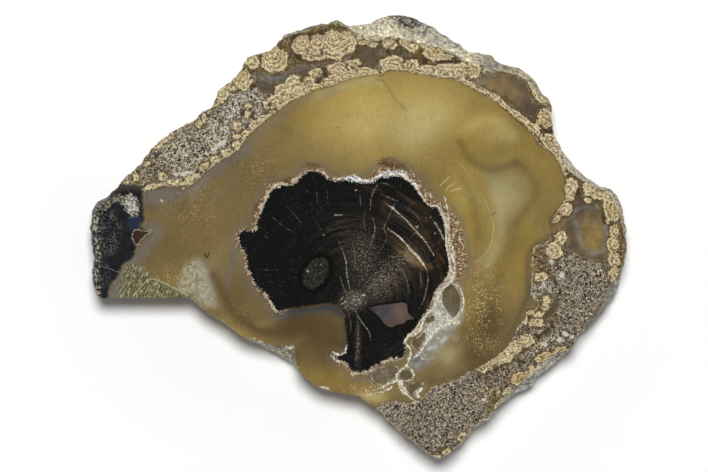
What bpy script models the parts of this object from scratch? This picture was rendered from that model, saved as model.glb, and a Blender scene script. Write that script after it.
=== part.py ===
"""A polished slice through a petrified limb: a black wood core in honey agate, in a lumpy rind.

The slice is one stone, lying flat with its polished face up. Its wall is a loft through stacked
sections. Each section is the outline of the slice, drawn in by the weathered skin that slopes out
from under the polished face, by the lumps and pits of the rind, by the scallops of a broken side,
and by a slight undercut towards the sawn back.
Units are metres, +Z is up, and the origin is the middle of the sawn back.
"""

import bmesh
import bpy
from mathutils import Vector, noise

SLICE_LENGTH = 0.1345
SLICE_THICKNESS = 0.014

# The outline was read off a picture seen square from above, with x to the right and y down.
# LEFT_END and RIGHT_END are its ends along x there, and PICTURE_MIDDLE is the origin.
LEFT_END = 90.0
RIGHT_END = 628.0
PICTURE_MIDDLE = (359.0, 236.5)
METRES_PER_STEP = SLICE_LENGTH / (RIGHT_END - LEFT_END)

# Each point is (x, y, skin). skin is how far the polished face stops short of the silhouette there,
# in the same steps as x and y. The points run clockwise as seen from above.
DARK_CORNER = [
    (97, 297, 1), (93, 288, 2), (91, 277, 2), (91, 268, 3), (94, 259, 2), (92, 248, 3),
    (90, 236, 3), (90, 222, 3), (92, 208, 3), (100, 200, 3), (110, 193, 2), (117, 187, 1),
]
UPPER_LEFT_RIND = [
    (122, 180, 1), (130, 172, 2), (139, 164, 2), (145, 156, 1), (151, 149, 1), (157, 142, 1),
    (166, 135, 1), (176, 129, 1), (185, 124, 1), (194, 121, 1), (199, 114, 1), (207, 110, 1),
    (212, 107, 1), (215, 99, 1), (218, 91, 1), (225, 85, 1), (233, 79, 1), (240, 71, 1),
    (244, 62, 1), (250, 55, 1), (259, 53, 1), (267, 51, 1), (274, 47, 1), (279, 39, 2),
    (285, 35, 2), (296, 31, 3), (307, 27, 4), (318, 23, 4), (328, 22, 4), (337, 19, 4),
    (342, 23, 3), (348, 25, 3),
]
TOP_SKIN = [
    (358, 24, 9), (368, 22, 15), (378, 18, 20), (390, 14.5, 23), (407, 14, 25), (420, 20, 23),
    (433, 26, 20), (441, 32, 17), (449, 36, 15), (454, 41, 13), (461, 43, 13), (467, 50, 11),
    (478, 52, 12), (490, 54, 13), (498, 60, 11), (509, 65, 8), (519, 67, 8), (529, 73, 7),
    (537, 83, 6), (543, 93, 5), (550, 101, 2),
]
RIGHT_RIND = [
    (553, 108, 1), (552, 120, 1), (553, 130, 1), (557, 138, 2), (562, 147, 4), (567, 156, 7),
    (573, 163, 8), (580, 171, 7), (590, 179, 5), (600, 185, 5), (608, 188, 4), (616, 193, 6),
    (622, 203, 6), (625, 217, 5), (627, 232, 4), (628, 250, 3), (625, 265, 3), (622, 276, 5),
    (619, 289, 9), (612, 301, 11), (604, 311, 8), (597, 319, 6), (589, 328, 5), (582, 335, 4),
    (576, 339, 2), (573, 348, 2), (564, 357, 7), (554, 365, 10), (546, 372, 10), (537, 379, 9),
    (533, 387, 11), (524, 391, 9), (510, 399, 5), (502, 405, 3), (494, 414, 2), (486, 422, 3),
    (476, 428, 4), (470, 437, 5), (463, 445, 4), (454, 452, 2), (440, 459, 1), (432, 456, 1),
]
MATRIX_BREAK = [
    (420, 448, 1), (410, 440, 1), (400, 432, 1), (389, 421, 1), (379, 411, 1), (368, 404, 1),
]
AGATE_BREAK = [
    (358, 397, 1), (345, 395, 1), (330, 392, 2), (320, 389, 1), (310, 382, 1), (300, 374, 1),
    (295, 368, 3), (288, 363, 12), (280, 358, 12), (266, 350, 7), (252, 342, 2), (240, 336, 1),
    (229, 327, 1), (218, 319.5, 1), (208, 314, 1), (199, 307, 1), (193, 301, 1), (189, 298, 1),
]
SAW_CUT = [(180, 298, 0), (160, 298, 0), (135, 298, 0), (115, 298, 0), (102, 298, 0)]

# Each stretch of the outline, with the depth in metres of the lumps on the wall below it, and of
# the scallops where the stone was broken and not grown.
STRETCHES = [
    (DARK_CORNER, 0.0013, 0.0004),
    (UPPER_LEFT_RIND, 0.0021, 0.0),
    (TOP_SKIN, 0.0024, 0.0),
    (RIGHT_RIND, 0.0022, 0.0),
    (MATRIX_BREAK, 0.0009, 0.0010),
    (AGATE_BREAK, 0.0, 0.0014),
    (SAW_CUT, 0.0, 0.0),
]
DEEPEST_LUMPS = max(lumps for _, lumps, _ in STRETCHES)

# The wall is sampled every WALL_STEP round the outline, and at these depths below the polished
# face, as shares of the thickness. The sharp upper edge stays as sawn: the relief of the wall grows
# from nothing there to its full depth at RELIEF_START.
WALL_STEP = 0.00117
DEPTHS = [0.0, 0.035, 0.1, 0.18, 0.27, 0.36, 0.45, 0.54, 0.63, 0.72, 0.81, 0.9, 0.965, 1.0]
RELIEF_START = 0.1

# The skin slopes out from the polished face down to SKIN_REACH, and the rind turns in again from
# UNDERCUT_START down, both as shares of the thickness.
SKIN_REACH = 0.64
UNDERCUT_START = 0.68
UNDERCUT = 0.0012

# The rind grew as rounded lumps, with smaller knobs on them and pits between them.
LUMP_SIZE = 0.0064
KNOB_SIZE = 0.0030
KNOB_SHARE = 0.3
SWELL_SIZE = 0.022
SWELL_DEPTH = 0.0011
PIT_SIZE = 0.0085
PIT_RADIUS_SHARE = 0.34
PIT_DEPTH = 0.0010

# A broken side has shell-shaped scallops with ridges where they meet.
SCALLOP_SIZE = 0.0125

AGATE_COLOUR = (0.296, 0.216, 0.072, 1.0)
AGATE_ROUGHNESS = 0.25
SHARP_EDGE_ANGLE = 0.7


def clear_scene():
    for obj in list(bpy.data.objects):
        bpy.data.objects.remove(obj, do_unlink=True)


def smooth_step(value):
    value = min(1.0, max(0.0, value))
    return value * value * (3.0 - 2.0 * value)


def outline_points():
    """The control points in metres, as vectors of x, y, skin, lump depth and scallop depth."""
    points = []
    for stretch, lumps, scallops in STRETCHES:
        for x, y, skin in stretch:
            across = (x - PICTURE_MIDDLE[0]) * METRES_PER_STEP
            up = (PICTURE_MIDDLE[1] - y) * METRES_PER_STEP
            points.append(Vector((across, up, skin * METRES_PER_STEP, lumps, scallops)))
    return points


def curve_through(before, start, end, after, share):
    """A point on the Catmull-Rom curve from start to end."""
    tangent_start = (end - before) * 0.5
    tangent_end = (after - start) * 0.5
    square, cube = share**2, share**3
    return (
        start * (2 * cube - 3 * square + 1)
        + tangent_start * (cube - 2 * square + share)
        + end * (3 * square - 2 * cube)
        + tangent_end * (cube - square)
    )


def sample_outline(points, step):
    """Evenly spaced samples of the smooth closed curve through the points."""
    pieces = 12
    count = len(points)
    dense = [
        curve_through(
            points[i - 1], points[i], points[(i + 1) % count], points[(i + 2) % count], k / pieces
        )
        for i in range(count)
        for k in range(pieces)
    ]
    dense.append(dense[0])
    travelled = [0.0]
    for a, b in zip(dense, dense[1:]):
        travelled.append(travelled[-1] + (b.xy - a.xy).length)
    total = round(travelled[-1] / step)
    samples = []
    place = 0
    for n in range(total):
        target = travelled[-1] * n / total
        while travelled[place + 1] < target:
            place += 1
        gap = travelled[place + 1] - travelled[place]
        share = (target - travelled[place]) / gap if gap else 0.0
        samples.append(dense[place].lerp(dense[place + 1], share))
    return samples


def inward_directions(samples, reach):
    """The inward direction at each sample, taken over its neighbours so that sections don't cross."""
    count = len(samples)
    directions = []
    for i in range(count):
        along = samples[(i + reach) % count].xy - samples[i - reach].xy
        directions.append(Vector((along.y, -along.x)).normalized())
    return directions


def cell_reach(place, size):
    """How far a place lies from the middle of its cell of this size: 0 there, up to 1 between cells."""
    return min(1.0, noise.voronoi(place / size)[0][0])


def lump_inset(place, lump_depth):
    """Rounded lumps: shallow on their tops, and deep in the grooves between them."""
    lumps = (1.0 - KNOB_SHARE) * cell_reach(place, LUMP_SIZE) ** 2
    knobs = KNOB_SHARE * cell_reach(place, KNOB_SIZE) ** 2
    pit = smooth_step(1.0 - cell_reach(place, PIT_SIZE) / PIT_RADIUS_SHARE)
    return (lumps + knobs) * lump_depth + PIT_DEPTH * pit * lump_depth / DEEPEST_LUMPS


def scallop_inset(place, scallop_depth):
    """Hollow shells of a break, deepest in their middles."""
    return scallop_depth * (1.0 - cell_reach(place, SCALLOP_SIZE) ** 2)


def wall_relief(sample, depth):
    """How far lumps, scallops and the undercut draw the wall in, at a share of the thickness."""
    _, _, _, lump_depth, scallop_depth = sample
    place = Vector((sample.x, sample.y, SLICE_THICKNESS * (1.0 - depth)))
    turned_in = smooth_step((depth - UNDERCUT_START) / (1.0 - UNDERCUT_START))
    swell = depth * (0.5 + 0.5 * noise.noise(place / SWELL_SIZE))
    relief = lump_inset(place, lump_depth) + scallop_inset(place, scallop_depth)
    return relief + (SWELL_DEPTH * swell + UNDERCUT * turned_in) * lump_depth / DEEPEST_LUMPS


def wall_column(sample, inward):
    """The points of the wall below one sample, whose outermost point stands on the outline."""
    reliefs = [wall_relief(sample, depth) for depth in DEPTHS]
    skins = [sample[2] * (1.0 - smooth_step(depth / SKIN_REACH)) for depth in DEPTHS]
    outermost = min(skin + relief for skin, relief in zip(skins, reliefs))
    column = []
    for depth, skin, relief in zip(DEPTHS, skins, reliefs):
        inset = skin + (relief - outermost) * smooth_step(depth / RELIEF_START)
        across = sample.xy + inward * inset
        column.append(Vector((across.x, across.y, SLICE_THICKNESS * (1.0 - depth))))
    return column


def loft(name, sections):
    """A closed mesh through a stack of closed sections, each a list of as many points."""
    sheet = bmesh.new()
    rings = [[sheet.verts.new(point) for point in section] for section in sections]
    count = len(rings[0])
    for upper, lower in zip(rings, rings[1:]):
        for i in range(count):
            j = (i + 1) % count
            sheet.faces.new((upper[i], upper[j], lower[j], lower[i]))
    sheet.faces.new(rings[0])
    sheet.faces.new(reversed(rings[-1]))
    bmesh.ops.recalc_face_normals(sheet, faces=sheet.faces)
    mesh = bpy.data.meshes.new(name)
    sheet.to_mesh(mesh)
    sheet.free()
    return mesh


def agate_material():
    material = bpy.data.materials.new("honey agate")
    material.use_nodes = True
    shader = material.node_tree.nodes["Principled BSDF"]
    shader.inputs["Base Color"].default_value = AGATE_COLOUR
    shader.inputs["Roughness"].default_value = AGATE_ROUGHNESS
    shader.inputs["Metallic"].default_value = 0.0
    return material


def build_slice():
    samples = sample_outline(outline_points(), WALL_STEP)
    inward = inward_directions(samples, reach=4)
    columns = [wall_column(sample, direction) for sample, direction in zip(samples, inward)]
    mesh = loft("petrified_wood_slice", zip(*columns))
    mesh.materials.append(agate_material())
    mesh.shade_smooth()
    mesh.set_sharp_from_angle(angle=SHARP_EDGE_ANGLE)
    return bpy.data.objects.new("petrified_wood_slice", mesh)


def main():
    clear_scene()
    collection = bpy.data.collections.new("petrified wood slice")
    bpy.context.scene.collection.children.link(collection)
    collection.objects.link(build_slice())


main()
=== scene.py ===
# %% [markdown]
# # A polished slice of petrified wood
#
# The real object is one slab of stone. A limb fell into a lake, algae coated it, and silica took the
# place of the wood. As the limb shrank, the gap around it filled with honey-coloured chalcedony. A saw
# cut the slab across and one face was polished, so one flat face shows four kinds of stone: black
# silicified wood in the middle, chalcedony around it, a knobbly algal crust, and sandy matrix.
#
# The slab could be dressed with a picture, but a picture stops at its own sharpness and says nothing
# about the sides. Here the borders between the stones are drawn as curves, each point of the mesh
# learns how far it is from each border, and the materials turn those distances into colour and relief.

# %% Load the frame
import math

import bmesh
import bpy
import numpy as np
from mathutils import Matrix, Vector, geometry, noise


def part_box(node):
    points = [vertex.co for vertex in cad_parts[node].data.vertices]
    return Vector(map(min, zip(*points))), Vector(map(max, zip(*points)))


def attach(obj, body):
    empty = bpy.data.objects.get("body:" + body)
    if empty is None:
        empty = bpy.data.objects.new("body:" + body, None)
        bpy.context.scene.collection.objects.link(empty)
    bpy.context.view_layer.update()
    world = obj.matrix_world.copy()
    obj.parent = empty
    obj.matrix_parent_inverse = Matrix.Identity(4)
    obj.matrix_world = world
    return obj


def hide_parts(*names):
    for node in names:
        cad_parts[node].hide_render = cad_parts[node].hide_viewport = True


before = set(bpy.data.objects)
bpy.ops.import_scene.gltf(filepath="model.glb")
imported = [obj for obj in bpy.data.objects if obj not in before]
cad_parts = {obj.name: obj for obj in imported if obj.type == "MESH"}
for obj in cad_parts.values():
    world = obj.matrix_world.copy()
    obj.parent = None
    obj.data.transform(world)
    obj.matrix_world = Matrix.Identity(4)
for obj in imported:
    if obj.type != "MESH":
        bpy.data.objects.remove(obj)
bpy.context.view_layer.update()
NODE = "petrified_wood_slice"
low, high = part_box(NODE)
TOP, BOTTOM = high.z, low.z
print("frame node", NODE, "measures", [round((b - a) * 1000, 1) for a, b in zip(low, high)], "mm")

# %% [markdown]
# ## From picture steps to millimetres
#
# The borders were drawn on a picture of the slice seen square from above, 708 steps wide, with y
# down. The slice is 134.5 mm long, and the picture says how many steps that is, so one step is a
# quarter of a millimetre. All patterns are worked out in millimetres, because that is how grain,
# rings and veins are measured.

# %% Scale
MM = 0.001
SLICE_LENGTH = 134.5
PICTURE_LEFT, PICTURE_RIGHT = 90.0, 628.0
PICTURE_MIDDLE = (359.0, 236.5)
PICTURE_STEPS = 708
STEP = SLICE_LENGTH / (PICTURE_RIGHT - PICTURE_LEFT)


def plan(points):
    """Picture steps to millimetres on the slab. Any further columns are kept as they are."""
    rows = np.array(points, float)
    rows[:, 0] = (rows[:, 0] - PICTURE_MIDDLE[0]) * STEP
    rows[:, 1] = (PICTURE_MIDDLE[1] - rows[:, 1]) * STEP
    return rows


def linear(code):
    """An sRGB hex colour as linear red, green, blue and alpha."""
    parts = [int(code[i : i + 2], 16) / 255 for i in (1, 3, 5)]
    return (*(c / 12.92 if c <= 0.04045 else ((c + 0.055) / 1.055) ** 2.4 for c in parts), 1.0)


print("one picture step is", round(STEP, 4), "mm")

# %% [markdown]
# ## Curves, distances and insides
#
# A border needs only a few points. A Catmull-Rom curve runs through them, which suits stone: it bends
# softly between points and never leaves them. Three small tools do the rest: the curve itself, the
# distance from many places to a curve, and whether a place is inside a closed one.

# %% Curves
CURVE_SPACING = 0.5
FOUR_CORNERS = [(0, 0), (9, 0), (9, 9), (0, 9)]


def curve(points, closed=False):
    """Rows along a smooth curve through the points, about half a millimetre apart."""
    rows = plan(points)
    if closed:
        before, end, after = np.roll(rows, 1, 0), np.roll(rows, -1, 0), np.roll(rows, -2, 0)
        start = rows
    else:
        padded = np.vstack([2 * rows[0] - rows[1], rows, 2 * rows[-1] - rows[-2]])
        before, start, end, after = padded[:-3], padded[1:-2], padded[2:-1], padded[3:]
    out = []
    for a, b, c, d in zip(before, start, end, after):
        count = max(1, math.ceil(np.hypot(*(c - b)[:2]) / CURVE_SPACING))
        for t in np.arange(count) / count:
            bend = t * t * (a - 2.5 * b + 2 * c - 0.5 * d) + t**3 * (1.5 * (b - c) + 0.5 * (d - a))
            out.append(b + 0.5 * t * (c - a) + bend)
    if not closed:
        out.append(rows[-1])
    return np.array(out)


print("a loop through four corners has", len(curve(FOUR_CORNERS, closed=True)), "rows")

# %% Distances
NO_LENGTH = 1e-12
PLACES_AT_ONCE = 4000


def distance(places, path, closed=False):
    """How far each place is from the path, and the path's further columns at the nearest point."""
    start = path if closed else path[:-1]
    step = (np.roll(path, -1, 0) if closed else path[1:]) - start
    step_length = np.maximum((step[:, :2] ** 2).sum(1), NO_LENGTH)
    far = np.empty(len(places))
    extra = np.empty((len(places), path.shape[1] - 2))
    for first in range(0, len(places), PLACES_AT_ONCE):
        now = slice(first, first + PLACES_AT_ONCE)
        part = places[now]
        offset = part[:, None, :] - start[None, :, :2]
        share = np.clip((offset * step[None, :, :2]).sum(2) / step_length, 0, 1)
        gap = ((offset - share[..., None] * step[None, :, :2]) ** 2).sum(2)
        best = gap.argmin(1)
        row = np.arange(len(part))
        far[now] = np.sqrt(gap[row, best])
        extra[now] = start[best, 2:] + share[row, best, None] * step[best, 2:]
    return far, extra


def inside(places, loop):
    """True for each place inside the closed loop, by counting crossings."""
    x, y = places[:, 0], places[:, 1]
    result = np.zeros(len(places), bool)
    for a, b in zip(loop, np.roll(loop, -1, 0)):
        if a[1] != b[1]:
            crossing = (a[1] > y) != (b[1] > y)
            result ^= crossing & (x < (b[0] - a[0]) * (y - a[1]) / (b[1] - a[1]) + a[0])
    return result


def border(places, points):
    """Signed distance in mm to a closed border, negative inside, and the border's further columns."""
    loop = curve(points, closed=True)
    far, extra = distance(places, loop, closed=True)
    return np.where(inside(places, loop), -far, far), extra


print("the loop's middle is at", border(plan([(4.5, 4.5)]), FOUR_CORNERS)[0].round(2), "mm from it")

# %% Lines, lumps and shares
FAR_AWAY = 1e3
TIP, TIP_WIDTH = 0.04, 0.06


def nearest_border(places, loops):
    """Signed distance to the nearest of several closed borders."""
    return np.minimum.reduce([border(places, loop)[0] for loop in loops])


def nearest_line(places, lines):
    """Distance to the nearest of several lines, less each line's half width in mm."""
    return np.minimum.reduce([distance(places, curve(line))[0] - half for half, line in lines])


def tapered_line(places, lines):
    """The same for lines that thin out at their ends, and the nearest line's brightness."""
    best, brightness = np.full(len(places), FAR_AWAY), np.zeros(len(places))
    for half, bright, line in lines:
        path = curve(line)
        taper = np.sin(np.pi * np.linspace(TIP, 1 - TIP, len(path))) ** 0.5
        gap, extra = distance(places, np.column_stack([path, half * taper - TIP_WIDTH * (1 - taper)]))
        gap = gap - extra[:, 0]
        brightness = np.where(gap < best, bright, brightness)
        best = np.minimum(best, gap)
    return best, brightness


def turned(turn=0):
    """Cosine and sine of a turn in degrees."""
    angle = math.radians(turn)
    return math.cos(angle), math.sin(angle)


def nearest_lump(places, lumps):
    """Rough signed distance to the nearest of some ellipses: x, y, across, down and any turn."""
    best = np.full(len(places), FAR_AWAY)
    for x, y, across, down, *turn in lumps:
        c, s = turned(*turn)
        dx, dy = (places - plan([(x, y)])[0]).T
        reach = np.hypot((dx * c + dy * s) / (across * STEP), (dy * c - dx * s) / (down * STEP))
        best = np.minimum(best, (reach - 1) * math.sqrt(across * down) * STEP)
    return best


def soft(value, full, none):
    """A smooth share: 1 where the value is at full, 0 where it is at none."""
    share = np.clip((value - none) / (full - none), 0, 1)
    return share * share * (3 - 2 * share)


print("half way from none to full, the share is", soft(0.5, 1.0, 0.0))

# %% [markdown]
# ## The borders of the chalcedony and of the wood
#
# The wood's border carries two more numbers at each point: how wide the cream band just outside it
# is, and how wide the brown granular band outside that is. Both formed as the bark decayed, and they
# swell and vanish along the border, so they belong to its points.

# %% Main borders
HONEY = [
    (143, 191), (152, 190), (160, 187), (168, 186), (178, 187), (184, 189), (189, 186), (193, 183),
    (200, 177), (207, 171), (214, 165), (222, 160), (230, 155), (240, 148), (247, 137), (256, 128),
    (262, 123), (268, 118), (274, 114), (281, 108), (287, 104), (292, 100), (300, 97), (308, 93),
    (316, 89), (325, 87), (333, 85), (340, 82), (348, 79), (357, 77), (366, 75), (374, 74), (381, 75),
    (385, 72), (390, 70), (400, 70), (408, 71), (416, 73), (425, 74), (439, 77), (453, 78), (460, 82),
    (472, 88), (480, 92), (490, 98), (498, 103), (505, 109), (513, 116), (520, 121), (527, 128),
    (533, 134), (537, 142), (543, 147), (550, 151), (555, 157), (560, 165), (563, 172), (566, 180),
    (565, 190), (565, 200), (558, 210), (553, 216), (550, 221), (552, 228), (552, 234), (545, 243),
    (535, 246), (533, 252), (532, 262), (532, 275), (531, 290), (532, 298), (538, 303), (535, 309),
    (527, 311), (525, 318), (520, 325), (515, 333), (512, 340), (508, 346), (502, 352), (495, 358),
    (488, 362), (480, 367), (473, 370), (467, 373), (460, 378), (450, 382), (440, 385), (433, 387),
    (428, 391), (424, 397), (416, 401), (407, 403), (398, 401), (389, 402), (381, 404), (375, 409),
    (366, 413), (345, 404), (320, 396), (305, 386), (286, 372), (258, 354), (235, 341), (215, 325),
    (196, 309), (186, 305), (150, 305), (108, 305), (76, 305), (76, 206), (84, 200), (98, 194),
    (112, 190), (122, 187), (134, 187),
]
WOOD = [
    (309, 171, 3, 3), (319, 172, 4, 3), (324, 176, 4, 2), (328, 179, 4, 2), (335, 181, 5, 2),
    (346, 180, 6, 1), (353, 181, 7, 1), (362, 183, 7, 1), (368, 183, 7, 2), (375, 181, 8, 3),
    (380, 178, 9, 6), (388, 177, 10, 9), (396, 176, 9, 9), (403, 177, 8, 8), (408, 181, 6, 7),
    (414, 186, 5, 7), (418, 192, 4, 7), (421, 196, 4, 11), (424, 200, 4, 11), (427, 204, 4, 10),
    (431, 207, 4, 9), (437, 208, 5, 8), (440, 213, 6, 10), (443, 220, 7, 13), (445, 227, 8, 16),
    (446, 240, 8, 20), (447, 250, 9, 20), (449, 262, 9, 20), (449, 270, 8, 17), (447, 277, 7, 11),
    (442, 283, 7, 4), (437, 288, 7, 3), (434, 295, 6, 2), (430, 305, 6, 2), (427, 311, 5, 1),
    (421, 318, 5, 1), (418, 325, 5, 1), (414, 330, 4, 1), (410, 334, 4, 1), (406, 338, 4, 1),
    (404, 343, 4, 1), (406, 348, 4, 1), (405, 352, 4, 1), (402, 357, 4, 1), (395, 358, 4, 1),
    (389, 358, 4, 2), (382, 362, 4, 2), (374, 366, 4, 2), (368, 370, 4, 2), (360, 372, 4, 2),
    (352, 371, 5, 2), (349, 366, 5, 2), (346, 362, 5, 2), (341, 361, 5, 2), (336, 358, 4, 1),
    (333, 355, 4, 1), (340, 355, 5, 1), (346, 352, 5, 1), (347, 347, 3, 0), (347, 340, 0, 0),
    (346, 330, 0, 0), (345, 322, 0, 0), (344, 315, 0, 0), (340, 308, 0, 0), (333, 304, 0, 0),
    (322, 304, 0, 0), (312, 306, 0, 0), (303, 306, 0, 0), (295, 308, 0, 0), (287, 309, 1, 1),
    (280, 311, 3, 2), (275, 308, 3, 2), (271, 302, 3, 3), (267, 295, 3, 3), (262, 291, 3, 3),
    (257, 286, 3, 3), (253, 280, 3, 3), (251, 273, 3, 3), (248, 268, 3, 3), (247, 260, 3, 3),
    (246, 254, 3, 3), (243, 250, 2, 3), (240, 245, 3, 3), (239, 238, 2, 4), (240, 232, 2, 4),
    (248, 231, 1, 4), (256, 231, 4, 2), (256, 224, 5, 2), (262, 211, 6, 3), (268, 197, 6, 3),
    (272, 190, 5, 3), (282, 186, 5, 3), (292, 185, 5, 3), (298, 180, 5, 2), (305, 174, 4, 2),
]
BAND_SHARE = 0.62
PITH = (357, 300)
print("chalcedony border", len(HONEY), "points, wood border", len(WOOD), "points")

# %% [markdown]
# ## Inside the wood
#
# The limb had a side branch, seen as a glassy knot, and a hole that mauve chalcedony filled. Fine
# pale lines are cracks healed with quartz. Those that follow a growth ring curve, and those that
# follow a ray run straight.

# %% Wood details
KNOT = [
    (304, 268), (310, 260), (318, 256), (326, 257.5), (330.5, 265), (329, 276), (323, 285),
    (313, 290.5), (304, 287), (300.5, 278),
]
PLUME = [
    (368, 308), (380, 305), (390, 304), (401, 302.5), (407, 304), (407.5, 309), (409, 314),
    (415, 318.7), (408, 320), (403, 324), (397, 325), (392, 327.5), (387, 326), (383, 322.5),
    (378, 316), (372, 311),
]
WOOD_LINES = [
    (0.08, 0.75, [(338, 240), (342, 249), (346, 262), (347, 275), (350, 290)]),
    (0.09, 0.65, [(354, 307), (358, 316), (364, 325), (369, 332), (371, 340)]),
    (0.14, 0.85, [(383, 202), (392, 208), (405, 219), (415, 230), (424, 240), (434, 255)]),
    (0.20, 0.95, [(387, 228), (398, 236), (408, 246), (416, 256), (424, 266), (427, 270)]),
    (0.34, 1.00, [(409, 249), (417, 256), (425, 266)]),
    (0.09, 0.55, [(427, 270), (428, 280), (426, 292), (423, 302), (419, 309)]),
    (0.18, 0.75, [(432, 219), (437, 226), (441, 233), (444, 241)]),
    (0.11, 0.40, [(387, 256), (395, 257), (401, 253)]),
    (0.12, 0.40, [(393, 262), (400, 268), (406, 278), (410, 294)]),
    (0.10, 0.35, [(419, 270), (421, 278), (421, 290)]),
    (0.10, 0.50, [(378, 184), (372, 195), (370, 210)]),
    (0.16, 0.30, [(360, 195), (361, 205)]),
    (0.16, 0.30, [(365, 211), (364, 219), (365, 229)]),
    (0.14, 0.50, [(373, 218), (375, 230), (372, 240), (369, 248)]),
    (0.11, 0.40, [(398, 200), (392, 208), (388, 219), (384, 228), (387, 237), (383, 246), (379, 254)]),
    (0.18, 0.30, [(352, 240), (354, 250), (355, 264), (353, 272)]),
    (0.06, 0.18, [(285, 204), (293, 214), (302, 224)]),
    (0.08, 0.28, [(272, 217), (283, 226), (295, 233)]),
    (0.07, 0.30, [(316, 188), (318, 205)]),
    (0.08, 0.35, [(327, 190), (328, 204)]),
    (0.06, 0.22, [(315, 216), (318, 225), (323, 232)]),
    (0.06, 0.25, [(261, 270), (280, 270)]),
    (0.18, 0.60, [(334, 215), (342, 215)]),
    (0.06, 0.15, [(341, 215), (352, 215), (363, 218)]),
    (0.11, 0.45, [(340, 276), (343, 286), (347, 296)]),
    (0.09, 0.35, [(349, 313), (351, 325), (350, 336)]),
    (0.08, 0.50, [(357, 312), (358, 326), (358, 340), (357, 352), (355, 366)]),
    (0.12, 0.45, [(381, 194), (390, 198), (398, 202)]),
    (0.12, 0.35, [(380, 183), (387, 184), (393, 187)]),
    (0.09, 0.35, [(404, 206), (414, 213), (422, 222)]),
    (0.10, 0.45, [(385, 270), (377, 280), (370, 287), (362, 295)]),
    (0.09, 0.30, [(409, 240), (414, 234), (419, 229)]),
    (0.08, 0.35, [(402, 216), (414, 228), (424, 240), (431, 252)]),
    (0.07, 0.25, [(395, 190), (407, 199), (418, 211)]),
    (0.07, 0.25, [(374, 262), (384, 262), (393, 266)]),
    (0.05, 0.12, [(292, 210), (304, 226)]),
]
print(len(WOOD_LINES), "healed cracks in the wood")

# %% Stains and grain of the wood
# Bright flecks in the wood are white crystals, except the first two, which are painted highlights on
# the glassy knot.
FLECKS = [
    (308, 271, 1.5, 1.2), (321, 265, 1.0, 0.8), (324, 235, 1.2, 0.9, 30), (356, 190, 1.1, 1.0),
    (417, 227, 1.6, 1.1, 40), (431, 217, 1.1, 0.8, 50), (426, 218, 1.0, 0.7), (435, 233, 1.2, 1.0),
    (364, 295, 2.6, 1.0, 10), (342, 298, 2.0, 0.8, 40), (345, 301, 0.8, 1.8, -20),
    (342, 304, 2.2, 0.7, 15), (350, 292, 1.2, 0.6, 60), (360, 303, 1.6, 0.8, 50),
    (352, 309, 1.4, 0.8, -30), (393, 208, 1.8, 1.4, -30),
]
TAN_WOOD = [
    (407, 247), (413, 250), (420, 257), (428, 267), (424, 270), (414, 266), (408, 258), (403, 252),
]
BROWN_WOOD = [
    (1.0, 411, 257, 18, 8, -36), (1.0, 441, 262, 4, 26, 5), (0.45, 392, 284, 22, 9, 35),
    (0.75, 422, 236, 18, 7, -52), (0.35, 383, 215, 4, 22, -10), (0.3, 421, 285, 4, 18),
    (0.08, 360, 236, 22, 24), (0.12, 357, 345, 5, 20), (0.6, 422, 218, 16, 5, -45),
    (0.5, 410, 200, 16, 4, -30), (0.45, 404, 222, 24, 4, -45), (0.7, 400, 243, 18, 4, -42),
    (0.45, 372, 190, 14, 4), (0.9, 434, 300, 5, 14, -20), (0.4, 345, 318, 4, 12), (0.5, 348, 296, 6, 6),
    (1.0, 424, 266, 22, 3, -4),
]
PITH_GRAINS = [
    (1.0, 356, 299, 9, 8), (0.6, 382, 280, 24, 13, 38), (0.38, 358, 345, 2.2, 20),
    (0.7, 350, 304, 10, 6), (0.35, 402, 262, 18, 12, 40), (0.4, 364, 262, 14, 28),
]
FINE_RINGS = [
    (0.7, 345, 232, 22, 26), (0.6, 400, 292, 20, 20), (0.5, 398, 350, 18, 14), (0.8, 405, 225, 26, 22),
]
print(len(FLECKS), "bright flecks,", len(BROWN_WOOD), "glows of brown stain")

# %% [markdown]
# ## The foot of the wood: quartz, lenses and white veins
#
# At the lower right the wood broke up before it was sealed. Blue-grey quartz filled the gap, white
# veins run through it, and small lenses of smoky chalcedony sit between the veins.

# %% Quartz and lenses
QUARTZ = [
    (434, 326), (444, 321), (456, 321), (455, 331), (448, 341), (441, 351), (433, 361), (425, 367),
    (417, 371), (410, 368), (412, 358), (418, 350), (424, 340),
]
FROSTING = [
    (438, 290), (446, 284), (456, 286), (460, 296), (461, 312), (458, 322), (447, 327), (436, 330),
    (427, 338), (423, 330), (430, 318), (434, 306),
]
ROTTEN = [
    (388, 162, 11, 5, 5), (401, 168, 7, 5, -35), (312, 166, 8, 3), (285, 181, 6, 3, 20),
    (256, 207, 3, 6, -20),
]
LENSES = [
    [(446, 286), (452, 284), (458, 291), (461, 301), (459, 311), (453, 318), (448, 312), (443, 305),
     (442, 294)],
    [(425, 331), (424, 340), (418, 349), (413, 347), (412, 341), (419, 337)],
    [(370, 376), (378, 369), (390, 366), (398, 368), (396, 376), (389, 381), (380, 384)],
    [(399, 373), (405, 369), (411, 372), (412, 378), (402, 380)],
    [(405, 384), (413, 383), (422, 384), (420, 388), (413, 392), (416, 398), (409, 393)],
    [(428, 318), (433, 315), (435, 319), (430, 323), (426, 323)],
]
print(len(LENSES), "lenses in the quartz")

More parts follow.
